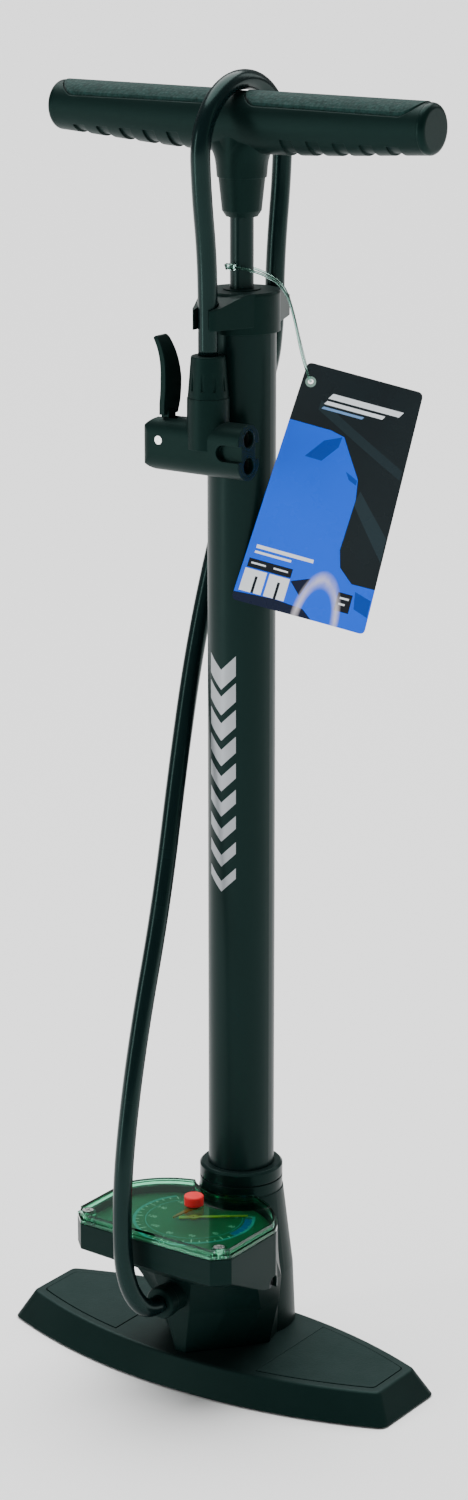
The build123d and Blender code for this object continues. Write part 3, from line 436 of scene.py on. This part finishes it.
def metal(name, base, roughness, brush=(900.0, 900.0, 60.0)):
    """Turned or drawn metal: brushing stretched along one axis, and spots of tarnish."""
    made, tree, shader = new_material(name)
    place = tree.nodes.new("ShaderNodeTexCoord").outputs["Object"]
    stretch = tree.nodes.new("ShaderNodeMapping")
    stretch.inputs["Scale"].default_value = brush
    tree.links.new(place, stretch.inputs["Vector"])
    strokes = noise_node(tree, stretch.outputs["Vector"], 1.0, 3.0)
    tarnish = noise_node(tree, place, 240.0, 4.0)
    tone = mix_colour(tree, tarnish, scaled(base, 0.8), scaled(base, 1.08))
    tree.links.new(tone, shader.inputs["Base Color"])
    tree.links.new(spread(tree, strokes, roughness - 0.08, roughness + 0.14), shader.inputs["Roughness"])
    tree.links.new(bump(tree, strokes, 0.00003, 0.3), shader.inputs["Normal"])
    shader.inputs["Metallic"].default_value = 1.0
    return made


def printed(name, base, roughness=0.4, coat=0.0):
    """Ink: a flat colour with the paper's faint tooth and uneven ink."""
    made, tree, shader = new_material(name)
    texture = use_group(tree, "grain", grain_scale=2600.0, mottle_scale=70.0)
    tone = mix_colour(tree, texture.outputs["Mottle"], scaled(base, 0.88), scaled(base, 1.12))
    tree.links.new(tone, shader.inputs["Base Color"])
    tree.links.new(spread(tree, texture.outputs["Height"], roughness - 0.05, roughness + 0.06),
                   shader.inputs["Roughness"])
    shader.inputs["Coat Weight"].default_value = coat
    shader.inputs["Coat Roughness"].default_value = 0.12
    return made


def speckled_rubber(name, base):
    """Soft grained rubber: raised pebbles from cells, each with its own tone."""
    made, tree, shader = new_material(name)
    place = tree.nodes.new("ShaderNodeTexCoord").outputs["Object"]
    cells = tree.nodes.new("ShaderNodeTexVoronoi")
    cells.inputs["Scale"].default_value = 620.0
    tree.links.new(place, cells.inputs["Vector"])
    coarse = noise_node(tree, place, 420.0, 3.0, 0.75)
    raised = math_node(tree, "SUBTRACT", 1.0, cells.outputs["Distance"], True)
    pebble = math_node(tree, "MULTIPLY", raised, coarse)
    tone = mix_colour(tree, spread(tree, coarse, -0.35, 1.35), scaled(base, 0.5), scaled(base, 2.6))
    tree.links.new(tone, shader.inputs["Base Color"])
    tree.links.new(spread(tree, cells.outputs["Distance"], 0.55, 0.8), shader.inputs["Roughness"])
    tree.links.new(bump(tree, pebble, 0.0004, 0.9), shader.inputs["Normal"])
    shader.inputs["Sheen Weight"].default_value = 0.1
    soften_shine(shader, 0.07)
    return made


def clear_plastic(name, base, roughness=0.03):
    """Clear moulded plastic with faint flow marks."""
    made, tree, shader = new_material(name)
    place = tree.nodes.new("ShaderNodeTexCoord").outputs["Object"]
    flow = noise_node(tree, place, 45.0, 2.0)
    tone = mix_colour(tree, flow, scaled(base, 0.96), scaled(base, 1.04))
    tree.links.new(tone, shader.inputs["Base Color"])
    tree.links.new(spread(tree, flow, roughness, roughness + 0.03), shader.inputs["Roughness"])
    tree.links.new(bump(tree, flow, 0.0004, 0.12), shader.inputs["Normal"])
    shader.inputs["Transmission Weight"].default_value = 1.0
    shader.inputs["IOR"].default_value = 1.49
    shader.inputs["Specular IOR Level"].default_value = 0.12
    # Reflections are tinted green: a painted reflection colour.
    shader.inputs["Specular Tint"].default_value = (0.45, 1.0, 0.75, 1.0)
    return made


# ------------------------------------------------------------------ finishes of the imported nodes
def finishes():
    """Each finish with the nodes that wear it."""
    tint = colours()
    return [
        (moulded("Moulded black", tint.body, 0.42),
         "foot_plate tower_shell barrel_cap hose_nut chuck_body chuck_lever hose_boot handle_grip"),
        (moulded("Gloss black", tint.body, 0.28, grain_depth=0.00003),
         "barrel_collar handle_end_caps port_rings rod_bush"),
        (speckled_rubber("Grained rubber", tint.rubber), "grip_pads foot_pads"),
        (moulded("Textured tread", tint.body, 0.55, grain=900.0, grain_depth=0.00025), "foot_treads"),
        (moulded("Seal rubber", (0.012, 0.013, 0.013), 0.6, grain=900.0),
         "barrel_gasket valve_o_ring rod_wiper lens_gasket port_grommets valve_disc piston_cup top_bumper"),
        (painted("Barrel powder coat", tint.barrel, 0.34, 0.04), "barrel_tube"),
        (painted("Rod paint", tint.rod, 0.30, 0.08), "piston_rod"),
        (metal("Zinc plate", (0.62, 0.63, 0.62), 0.26),
         "foot_screws lens_screws lever_pin valve_spring piston_nut piston_washer handle_anchor_nut"),
        (metal("Dull eyelet", (0.20, 0.30, 0.26), 0.42), "tag_eyelet"),
        (metal("Blackened steel", (0.05, 0.055, 0.06), 0.38), "side_screws"),
        (metal("Brass", (0.72, 0.50, 0.20), 0.27),
         "valve_plug movement_plate movement_bridge bourdon_tube gauge_stem hose_barb sector_gear "
         "needle_pinion"),
        (moulded("Grey acetal", (0.24, 0.25, 0.26), 0.42, wear_and_highlight=0.1),
         "valve_body piston chuck_plungers"),
        (printed("Dial ground", tint.dial, 0.38), "dial_plate"),
        (clear_plastic("Clear lens", tint.lens), "lens_cover"),
        (printed("Needle yellow", tint.needle, 0.35), "needle"),
        (moulded("Knob red", tint.knob, 0.3, wear_and_highlight=0.05, dust=0.05), "marker_knob"),
        (printed("Marker orange", tint.marker, 0.35), "marker_pointer"),
        (clear_plastic("Loop plastic", tint.loop, 0.12), "tag_clasp"),
    ]


class PUMP_OT_finishes(bpy.types.Operator):
    """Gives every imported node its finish"""

    bl_idname = "pump.finishes"
    bl_label = "Finishes"

    def execute(self, context):
        for made, names in finishes():
            for name in names.split():
                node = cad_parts[name]
                node.data.materials.clear()
                node.data.materials.append(made)
        return {"FINISHED"}


# ------------------------------------------------------------------ surfaces
def add_mesh(name, points, faces, materials, smooth=True):
    """A mesh object at the origin from an array of points and a list or array of faces."""
    mesh = bpy.data.meshes.new(name)
    mesh.from_pydata(points.tolist(), [], [tuple(face) for face in faces])
    for made in materials:
        mesh.materials.append(made)
    mesh.shade_smooth() if smooth else mesh.shade_flat()
    piece = bpy.data.objects.new(name, mesh)
    bpy.context.scene.collection.objects.link(piece)
    return piece


def grid_faces(rows, columns, closed=False):
    """The quads of a grid of rows by columns, with the last column joined to the first if closed."""
    starts = columns if closed else columns - 1
    row, column = np.meshgrid(np.arange(rows - 1), np.arange(starts), indexing="ij")
    after = (column + 1) % columns
    quads = np.stack([row * columns + column, row * columns + after, (row + 1) * columns + after,
                      (row + 1) * columns + column], axis=-1)
    return quads.reshape(-1, 4)


def vertex_places(mesh):
    """A mesh's vertex places as rows of three."""
    places = np.empty(3 * len(mesh.vertices))
    mesh.vertices.foreach_get("co", places)
    return places.reshape(-1, 3)


def smooth_path(name, route):
    """The points of the NURBS spline whose control points are the route."""
    curve = bpy.data.curves.new(name, "CURVE")
    curve.dimensions = "3D"
    spline = curve.splines.new("NURBS")
    spline.points.add(len(route) - 1)
    for point, place in zip(spline.points, route):
        point.co = (*place, 1.0)
    spline.order_u = 3
    spline.use_endpoint_u = True
    spline.resolution_u = 14
    holder = bpy.data.objects.new(name, curve)
    mesh = bpy.data.meshes.new_from_object(holder)
    points = vertex_places(mesh)
    bpy.data.objects.remove(holder)
    bpy.data.curves.remove(curve)
    bpy.data.meshes.remove(mesh)
    return points


def unit(vectors):
    """Vectors scaled to length one."""
    return vectors / np.linalg.norm(vectors, axis=-1, keepdims=True)


def carried_frames(points):
    """Directions along a path, and two more across it that turn as little as they can from point to point."""
    along = unit(np.gradient(points, axis=0))
    side = np.zeros_like(along)
    helper = np.array([1.0, 0.0, 0.0])
    if abs(along[0] @ helper) > 0.9:
        helper = np.array([0.0, 1.0, 0.0])
    side[0] = unit(np.cross(along[0], helper))
    for index in range(1, len(points)):
        side[index] = unit(side[index - 1] - along[index] * (side[index - 1] @ along[index]))
    return along, side, np.cross(along, side)


def tube(name, points, radius, sides, materials):
    """A round tube: a circle of that radius carried along the path, closed with a pole at each end."""
    along, side, rise = carried_frames(points)
    angle = np.linspace(0, 2 * math.pi, sides, endpoint=False)
    radius = np.broadcast_to(radius, (len(points),))[:, None, None]
    spokes = np.cos(angle)[None, :, None] * side[:, None] + np.sin(angle)[None, :, None] * rise[:, None]
    skin = (points[:, None] + radius * spokes).reshape(-1, 3)
    vertices = np.vstack([skin, points[0], points[-1]])
    wall = grid_faces(len(points), sides, closed=True)
    column = np.arange(sides)
    after = np.roll(column, -1)
    last = (len(points) - 1) * sides
    first_end = np.stack([np.full(sides, len(skin)), after, column], axis=-1)
    last_end = np.stack([np.full(sides, len(skin) + 1), last + column, last + after], axis=-1)
    piece = add_mesh(name, vertices, wall.tolist() + first_end.tolist() + last_end.tolist(), materials)
    layer = piece.data.attributes.new("along", "FLOAT", "POINT")
    travelled = np.concatenate([[0.0], np.cumsum(np.linalg.norm(np.diff(points, axis=0), axis=1))])
    layer.data.foreach_set("value", np.concatenate([np.repeat(travelled, sides), [0.0, travelled[-1]]]))
    return piece


# ------------------------------------------------------------------ hose
def hose_material():
    """Extruded rubber: a glossy skin with fine grain, and slow waves in its gloss along it."""
    made, tree, shader = new_material("Hose rubber")
    texture = use_group(tree, "grain", grain_scale=900.0, mottle_scale=14.0)
    base = colours().hose
    tree.links.new(mix_colour(tree, texture.outputs["Mottle"], scaled(base, 0.7), scaled(base, 1.4)),
                   shader.inputs["Base Color"])
    distance = tree.nodes.new("ShaderNodeAttribute")
    distance.attribute_name = "along"
    waves = tree.nodes.new("ShaderNodeTexNoise")
    waves.noise_dimensions = "1D"
    waves.inputs["Scale"].default_value = 60.0
    tree.links.new(distance.outputs["Fac"], waves.inputs["W"])
    tree.links.new(spread(tree, waves.outputs["Fac"], 0.16, 0.32), shader.inputs["Roughness"])
    tree.links.new(bump(tree, texture.outputs["Height"], 0.00004, 0.3), shader.inputs["Normal"])
    shader.inputs["Coat Weight"].default_value = 0.06
    shader.inputs["Coat Roughness"].default_value = 0.16
    soften_shine(shader, 0.18)
    return made


class PUMP_OT_hose(bpy.types.Operator):
    """Makes the hose along its smooth route, so that its upper loop follows the handle"""

    bl_idname = "pump.hose"
    bl_label = "Hose"

    def execute(self, context):
        diameter = sizes().hose_diameter
        points = smooth_path("hose_route", HOSE_ROUTE)
        hose = tube("pump_hose", points, diameter / 2, 28, [hose_material()])
        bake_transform(hose)
        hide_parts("hose")
        return {"FINISHED"}


# ------------------------------------------------------------------ printed patches
def merge(parts):
    """Joins (points, faces) pairs into one pair."""
    points, faces, start = [], [], 0
    for some_points, some_faces in parts:
        points.append(some_points)
        faces.extend((np.asarray(some_faces) + start).tolist())
        start += len(some_points)
    return np.vstack(points), faces


def polar_patch(first, last, inner, outer, height, centre_y=0.0, steps=48):
    """A flat sector between two angles and two radii, at a height over a centre on the Y axis."""
    angle, radius = np.meshgrid(np.linspace(first, last, steps), np.array([inner, outer]), indexing="ij")
    across = radius * np.cos(angle)
    along = centre_y + radius * np.sin(angle)
    points = np.stack([across, along, np.full_like(angle, height)], axis=-1)
    faces = grid_faces(steps, 2)
    return points.reshape(-1, 3), faces if last < first else faces[:, ::-1]


def barrel_patch(middle, width, low, high, slant, radius, steps=20):
    """A patch wrapped on the barrel between two heights, whose ends lean by slant across its width."""
    side, rise = np.meshgrid(np.linspace(-0.5, 0.5, steps), np.linspace(0.0, 1.0, 6), indexing="ij")
    angle = middle + side * width / radius
    level = low + (high - low) * rise + slant * side
    points = np.stack([radius * np.cos(angle), radius * np.sin(angle), level], -1)
    return points.reshape(-1, 3), grid_faces(steps, 6)


class PUMP_OT_barrel_print(bpy.types.Operator):
    """Prints silver chevrons down the barrel's front, each a pair of leaning bars wrapped on its radius"""

    bl_idname = "pump.barrel_print"
    bl_label = "Barrel print"

    def execute(self, context):
        size = sizes()
        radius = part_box("barrel_tube")[1][0] + INK_LIFT
        half = size.print_width / 2
        levels = size.print_top - size.print_pitch * np.arange(size.print_count)
        thick = size.print_bar * np.linspace(1.0, 0.55, size.print_count)
        parts = []
        for level, tall in zip(levels, thick):
            for side in (-1, 1):
                middle = size.print_angle + side * half / 2 / radius
                lean = side * size.print_lean
                parts.append(barrel_patch(middle, half, level - tall, level, lean, radius))
        ink = printed("Silver ink", colours().silver, 0.34, 0.2)
        ink.node_tree.nodes["Principled BSDF"].inputs["Metallic"].default_value = 0.5
        chevrons = add_mesh("barrel_chevrons", *merge(parts), [ink])
        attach(chevrons, "root")
        return {"FINISHED"}


def number_mesh(text, size, place):
    """A number in flat figures, centred on a place, as points and triangles."""
    curve = bpy.data.curves.new("number", "FONT")
    curve.body = text
    curve.size = size
    curve.align_x = "CENTER"
    curve.align_y = "CENTER"
    holder = bpy.data.objects.new("number", curve)
    bpy.context.scene.collection.objects.link(holder)
    mesh = bpy.data.meshes.new_from_object(holder.evaluated_get(bpy.context.evaluated_depsgraph_get()))
    mesh.calc_loop_triangles()
    points = vertex_places(mesh) + np.array(place)
    triangles = np.empty(3 * len(mesh.loop_triangles), dtype=np.int32)
    mesh.loop_triangles.foreach_get("vertices", triangles)
    bpy.data.objects.remove(holder)
    bpy.data.curves.remove(curve)
    bpy.data.meshes.remove(mesh)
    return points, triangles.reshape(-1, 3)


class PUMP_OT_dial_print(bpy.types.Operator):
    """Prints the gauge's scale: two rings, ticks, numbers and a coloured band near zero"""

    bl_idname = "pump.dial_print"
    bl_label = "Dial print"

    def execute(self, context):
        tint = colours()
        size = sizes()
        pin_low, pin_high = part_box("needle_pinion")
        centre = (pin_low[1] + pin_high[1]) / 2
        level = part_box("dial_plate")[1][2] + INK_LIFT
        first = size.needle_start
        last = first - size.needle_sweep
        radius = size.scale_radius
        half = size.scale_width / 2
        ring = polar_patch(first, last, radius - half, radius + half, level, centre, 120)
        inner = polar_patch(first, last, radius - 0.0062, radius - 0.0058, level, centre, 120)
        ring_ink = printed("Scale ink", tint.scale, 0.35)
        scale = add_mesh("dial_ring", *merge([ring, inner]), [ring_ink], smooth=False)
        band_start = first - math.radians(5)
        band_end = first - math.radians(50)
        near_zero = polar_patch(band_start, band_end, radius - 0.0046, radius - half, level, centre, 40)
        band_ink = printed("Band ink", (0.03, 0.10, 0.42), 0.35)
        band = add_mesh("dial_band", *near_zero, [band_ink], smooth=False)
        divisions = 32
        wide = 0.0003 / radius
        marks = []
        for index in range(divisions + 1):
            angle = first - size.needle_sweep * index / divisions
            deep = 0.0036 if index % 4 == 0 else 0.0018
            inside = radius - half - deep
            marks.append(polar_patch(angle + wide, angle - wide, inside, radius - half, level, centre, 2))
        numbers = range(0, 161, 20)
        for number in numbers:
            angle = first - size.needle_sweep * number / numbers[-1]
            place = (0.0225 * math.cos(angle), centre + 0.0225 * math.sin(angle), level)
            marks.append(number_mesh(str(number), 0.0036, place))
        mark_ink = printed("Mark ink", (0.55, 0.68, 0.62), 0.4)
        print_marks = add_mesh("dial_marks", *merge(marks), [mark_ink], smooth=False)
        for piece in (scale, band, print_marks):
            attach(piece, "root")
        return {"FINISHED"}


# ------------------------------------------------------------------ hang tag
def card_place(across, down, lift):
    """Points of the card: across and down in metres from its top left corner, on its gently bowed sheet."""
    size = sizes()
    facing = size.card_turn
    tilt = size.card_tilt
    normal = np.array([math.sin(facing), -math.cos(facing), 0.0])
    sideways = np.array([math.cos(facing), math.sin(facing), 0.0])
    along = sideways * math.cos(tilt) - np.array([0.0, 0.0, math.sin(tilt)])
    upward = np.cross(normal, along)
    corner = normal * CARD_CORNER_FORWARD + sideways * CARD_CORNER_SIDEWAYS
    corner[2] += CARD_CORNER_HEIGHT
    share_down = np.clip(down / size.card_length, 0.0, 1.0)
    share_across = np.clip(across / size.card_bottom, 0.0, 1.0)
    bow = size.card_bow * np.sin(math.pi * share_across) * np.sin(math.pi * share_down)
    curl = CARD_CURL * share_across ** 3 * share_down ** 2
    out = (bow + curl + lift)[..., None] * normal
    return corner + across[..., None] * along - down[..., None] * upward + out


def card_outline():
    """The card's rounded outline as across and down, clockwise from the top left."""
    size = sizes()
    flare = (size.card_bottom - size.card_top) / 2
    corners = np.array([
        (0.0, 0.0),
        (size.card_top, 0.0),
        (size.card_top + flare, size.card_length),
        (-flare, size.card_length),
    ])
    turns = np.linspace(0.0, 1.0, 9)[:, None]
    points = []
    for index in range(4):
        here = corners[index]
        before = unit(corners[index - 1] - here) * size.card_corner
        after = unit(corners[(index + 1) % 4] - here) * size.card_corner
        points.append(here + before * (1 - turns) ** 2 + after * turns ** 2)
        following = corners[(index + 1) % 4] - after
        steps = np.linspace(0.0, 1.0, 30)[1:-1, None]
        points.append(here + after + (following - here - after) * steps)
    return np.vstack(points)


def convex_mask(tree, across, down, corners):
    """1 inside a convex outline whose corners, as shares of the card, run clockwise on its face."""
    inside = None
    for (x0, y0), (x1, y1) in zip(corners, corners[1:] + corners[:1]):
        from_edge_x = math_node(tree, "MULTIPLY", across, y0 - y1)
        from_edge_y = math_node(tree, "MULTIPLY", down, x1 - x0)
        both = math_node(tree, "ADD", from_edge_x, from_edge_y)
        far = math_node(tree, "SUBTRACT", both, x0 * (y0 - y1) + y0 * (x1 - x0))
        inside = far if inside is None else math_node(tree, "MINIMUM", inside, far)
    return math_node(tree, "GREATER_THAN", inside, 0.0)


def box_outline(left, top, right, bottom):
    """A box's corners, clockwise."""
    return [(left, top), (right, top), (right, bottom), (left, bottom)]


def slanted_bar(left, top, right, bottom, lean):
    """A leaning bar's corners, clockwise."""
    return [(left + lean, top), (right + lean, top), (right, bottom), (left, bottom)]


def card_shapes():
    """Each printed shape as its corners, in shares across and down the card, and its ink."""
    tint = colours()
    blue = tint.card_blue
    deep = scaled(blue, 0.45)
    night = (0.003, 0.008, 0.030)
    ink = (0.004, 0.007, 0.012)
    white = (0.85, 0.90, 0.95)
    return [
        ([(0.20, 0.13), (0.98, 0.32), (0.98, 0.36), (0.20, 0.17)], scaled(tint.card, 1.8)),
        ([(0.70, 0.44), (0.99, 0.60), (0.99, 0.70), (0.68, 0.50)], scaled(tint.card, 2.2)),
        ([(0, 0.2365), (0.344, 0.2365), (0.463, 0.249), (0.658, 0.398), (0.683, 0.478), (0.667, 0.699),
          (0, 0.699)], blue),
        ([(0, 0.69), (0.667, 0.69), (0.705, 0.761), (0, 0.761)], blue),
        ([(0, 0.76), (0.705, 0.76), (0.843, 0.825), (0, 0.825)], blue),
        ([(0, 0.82), (1, 0.812), (1, 1), (0, 1)], blue),
        ([(0.204, 0.362), (0.315, 0.283), (0.449, 0.251), (0.441, 0.294), (0.340, 0.363)], deep),
        ([(0.551, 0.379), (0.653, 0.4025), (0.656, 0.423), (0.588, 0.408)], deep),
        ([(0.376, 0.866), (0.517, 0.834), (0.468, 0.916)], night),
        ([(0.0, 0.965), (0.30, 0.955), (0.52, 0.965), (0.60, 1.0), (0.0, 1.0)], night),
        ([(0.86, 0.84), (0.99, 0.86), (0.99, 0.93), (0.88, 0.91)], deep),
        (box_outline(0.036, 0.817, 0.37, 0.855), ink),
        (box_outline(0.06, 0.831, 0.17, 0.838), white),
        (box_outline(0.23, 0.831, 0.34, 0.838), white),
        (box_outline(0.03, 0.86, 0.195, 0.955), white),
        (box_outline(0.215, 0.86, 0.37, 0.955), white),
        (box_outline(0.118, 0.885, 0.138, 0.955), ink),
        (box_outline(0.288, 0.885, 0.308, 0.955), ink),
        (box_outline(0.74, 0.857, 0.85, 0.935), ink),
        (box_outline(0.76, 0.875, 0.83, 0.883), white),
        (box_outline(0.76, 0.90, 0.81, 0.908), white),
        (box_outline(0.06, 0.757, 0.50, 0.772), white),
        (box_outline(0.06, 0.783, 0.34, 0.793), white),
        (slanted_bar(0.25, 0.095, 0.85, 0.118, 0.03), white),
        (slanted_bar(0.23, 0.128, 0.72, 0.143, 0.02), white),
        (slanted_bar(0.22, 0.153, 0.56, 0.163, 0.015), (0.16, 0.32, 0.62)),
    ]


def card_material():
    """Glossy printed board: a dark ground, a blue panel with shards, boxes and rules, and a pale arc of
    painted glare.
    """
    tint = colours()
    made, tree, shader = new_material("Printed card")
    place = tree.nodes.new("ShaderNodeAttribute")
    place.attribute_name = "print_place"
    split = tree.nodes.new("ShaderNodeSeparateXYZ")
    tree.links.new(place.outputs["Vector"], split.inputs[0])
    across, down, front = split.outputs["X"], split.outputs["Y"], split.outputs["Z"]
    texture = use_group(tree, "grain", grain_scale=3000.0, mottle_scale=40.0)
    ground = mix_colour(tree, texture.outputs["Mottle"], scaled(tint.card, 0.6), scaled(tint.card, 1.2))
    tone = ground
    for corners, ink in card_shapes():
        tone = mix_colour(tree, convex_mask(tree, across, down, corners), tone, ink)
    # A pale ring near the card's lower edge, broken up by noise: a painted glare arc, not print.
    sideways = math_node(tree, "MULTIPLY", math_node(tree, "SUBTRACT", across, 0.62), 68.0)
    lengthways = math_node(tree, "MULTIPLY", math_node(tree, "SUBTRACT", down, 1.0), 58.0)
    squares = math_node(tree, "ADD", math_node(tree, "MULTIPLY", sideways, sideways),
                        math_node(tree, "MULTIPLY", lengthways, lengthways))
    reach = math_node(tree, "SQRT", squares)
    off_ring = math_node(tree, "ABSOLUTE", math_node(tree, "SUBTRACT", reach, 10.0))
    ring = math_node(tree, "SUBTRACT", 1.0, math_node(tree, "DIVIDE", off_ring, 2.4), True)
    glare_streaks = noise_node(tree, place.outputs["Vector"], 9.0, 4.0)
    painted_glare = math_node(tree, "MULTIPLY", ring, math_node(tree, "MULTIPLY", glare_streaks, 1.5, True), True)
    tone = mix_colour(tree, painted_glare, tone, (0.80, 0.74, 0.80))
    tone = mix_colour(tree, front, ground, tone)
    tree.links.new(tone, shader.inputs["Base Color"])
    tree.links.new(spread(tree, texture.outputs["Mottle"], 0.2, 0.34), shader.inputs["Roughness"])
    tree.links.new(bump(tree, texture.outputs["Mottle"], 0.0004, 0.12), shader.inputs["Normal"])
    shader.inputs["Specular IOR Level"].default_value = 0.12
    return made


class PUMP_OT_card(bpy.types.Operator):
    """Makes the hang tag: rings from its punched hole to its rounded outline, front and back, gently bowed"""

    bl_idname = "pump.card"
    bl_label = "Hang tag"

    def execute(self, context):
        size = sizes()
        outline = card_outline()
        hole = np.array(CARD_HOLE)
        hole_edge = hole + unit(outline - hole) * CARD_HOLE_RADIUS
        share = np.linspace(0.0, 1.0, 30)[:, None, None]
        flat = hole_edge + (outline - hole_edge) * share
        half = size.card_thickness / 2
        front = card_place(flat[..., 0], flat[..., 1], np.full(flat.shape[:2], half))
        back = card_place(flat[::-1, :, 0], flat[::-1, :, 1], np.full(flat.shape[:2], -half))
        rows, columns = flat.shape[:2]
        points = np.concatenate([front, back]).reshape(-1, 3)
        column = np.arange(columns)
        after = np.roll(column, -1)
        last = (2 * rows - 1) * columns
        hole_wall = np.stack([last + column, last + after, after, column], axis=-1)
        faces = np.vstack([grid_faces(2 * rows, columns, closed=True), hole_wall])
        card = add_mesh("hang_card", points, faces, [card_material()], smooth=False)
        place = card.data.attributes.new("print_place", "FLOAT_VECTOR", "POINT")
        flare = (size.card_bottom - size.card_top) / 2
        share_down = flat[..., 1] / size.card_length
        share_across = (flat[..., 0] + flare * share_down) / (size.card_top + 2 * flare * share_down)
        shares = np.stack([share_across, share_down], -1)
        both = np.concatenate([shares, shares[::-1]]).reshape(-1, 2)
        side = np.repeat([1.0, 0.0], rows * columns)[:, None]
        place.data.foreach_set("vector", np.hstack([both, side]).ravel())
        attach(card, "root")
        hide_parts("hang_tag")
        return {"FINISHED"}


class PUMP_OT_loop(bpy.types.Operator):
    """Makes the tag's clear loop round the rod, closed by its clasp"""

    bl_idname = "pump.loop"
    bl_label = "Tag loop"

    def execute(self, context):
        diameter = sizes().loop_diameter
        points = smooth_path("loop_route", LOOP_ROUTE)
        made = clear_plastic("Loop strand", colours().loop, 0.12)
        loop = tube("tag_loop_strand", points, diameter / 2, 12, [made])
        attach(loop, "root")
        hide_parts("tag_loop")
        return {"FINISHED"}


# ------------------------------------------------------------------ stage
def area_light(name, place, target, size, power, tint=(1.0, 1.0, 1.0)):
    """A soft rectangular light that looks at a target."""
    lamp = bpy.data.lights.new(name, "AREA")
    lamp.shape = "RECTANGLE"
    lamp.size = size[0]
    lamp.size_y = size[1]
    lamp.energy = power
    lamp.color = tint
    holder = bpy.data.objects.new(name, lamp)
    holder.location = place
    holder.rotation_euler = (Vector(target) - Vector(place)).to_track_quat("-Z", "Y").to_euler()
    bpy.context.scene.collection.objects.link(holder)


class PUMP_OT_stage(bpy.types.Operator):
    """Sets up the pale floor, the soft lights and the camera"""

    bl_idname = "pump.stage"
    bl_label = "Stage"

    def execute(self, context):
        settings = context.scene.pump_stage
        half = settings.floor_size / 2
        corners = np.array([(-half, -half, 0.0), (half, -half, 0.0), (half, half, 0.0), (-half, half, 0.0)])
        made, _, shader = new_material("Pale floor")
        shader.inputs["Base Color"].default_value = (*settings.floor_colour, 1.0)
        shader.inputs["Roughness"].default_value = 0.9
        floor = add_mesh("floor", corners, [(0, 1, 2, 3)], [made], smooth=False)
        world = bpy.data.worlds.new("Soft room")
        world.use_nodes = True
        world.node_tree.nodes["Background"].inputs["Color"].default_value = (1.0, 1.0, 1.0, 1.0)
        world.node_tree.nodes["Background"].inputs["Strength"].default_value = settings.room_strength
        context.scene.world = world
        daylight = bpy.data.lights.new("daylight", "SUN")
        daylight.energy = settings.daylight_strength
        daylight.angle = math.radians(70)
        overhead = bpy.data.objects.new("daylight", daylight)
        overhead.rotation_euler = (math.radians(-14), math.radians(-12), 0.0)
        context.scene.collection.objects.link(overhead)
        area_light("strip", (-1.05, -1.75, 0.75), (0, 0, 0.35), (0.3, 1.5), 14.0)
        area_light("side", (2.0, 0.3, 1.1), (0, 0, 0.4), (0.4, 1.4), 1.5, (0.6, 1.0, 0.75))
        area_light("back", (0.9, 2.0, 1.7), (0, 0, 0.5), (0.6, 1.2), 6.0)
        lens = bpy.data.cameras.new("camera")
        lens.sensor_width = 36.0
        lens.lens = settings.camera_lens
        camera = bpy.data.objects.new("camera", lens)
        camera.location = settings.camera_place
        camera.rotation_euler = (math.pi / 2 - settings.camera_pitch, 0.0, settings.camera_heading)
        context.scene.collection.objects.link(camera)
        context.scene.camera = camera
        return {"FINISHED"}


# ------------------------------------------------------------------ registration
class PUMP_PT_panel(bpy.types.Panel):
    """Lists the pump's settings and its steps"""

    bl_label = "Floor pump"
    bl_idname = "PUMP_PT_panel"
    bl_space_type = "VIEW_3D"
    bl_region_type = "UI"
    bl_category = "Pump"

    def draw(self, context):
        for group in (context.scene.pump_colours, context.scene.pump_sizes, context.scene.pump_stage):
            for name in group.__annotations__:
                self.layout.prop(group, name)
        for step in STEPS:
            self.layout.operator(step.bl_idname)


STEPS = (PUMP_OT_stage, PUMP_OT_finishes, PUMP_OT_hose, PUMP_OT_barrel_print, PUMP_OT_dial_print,
         PUMP_OT_card, PUMP_OT_loop)
CLASSES = (PumpColours, PumpSizes, StageSettings, *STEPS, PUMP_PT_panel)


def register():
    """Adds the classes and their settings."""
    for each in CLASSES:
        bpy.utils.register_class(each)
    bpy.types.Scene.pump_colours = bpy.props.PointerProperty(type=PumpColours)
    bpy.types.Scene.pump_sizes = bpy.props.PointerProperty(type=PumpSizes)
    bpy.types.Scene.pump_stage = bpy.props.PointerProperty(type=StageSettings)


def unregister():
    """Takes the classes and their settings away."""
    del bpy.types.Scene.pump_colours
    del bpy.types.Scene.pump_sizes
    del bpy.types.Scene.pump_stage
    for each in reversed(CLASSES):
        bpy.utils.unregister_class(each)


def main():
    """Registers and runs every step."""
    register()
    bpy.ops.pump.stage()
    bpy.ops.pump.finishes()
    bpy.ops.pump.hose()
    bpy.ops.pump.barrel_print()
    bpy.ops.pump.dial_print()
    bpy.ops.pump.card()
    bpy.ops.pump.loop()


if __name__ == "__main__":
    main()
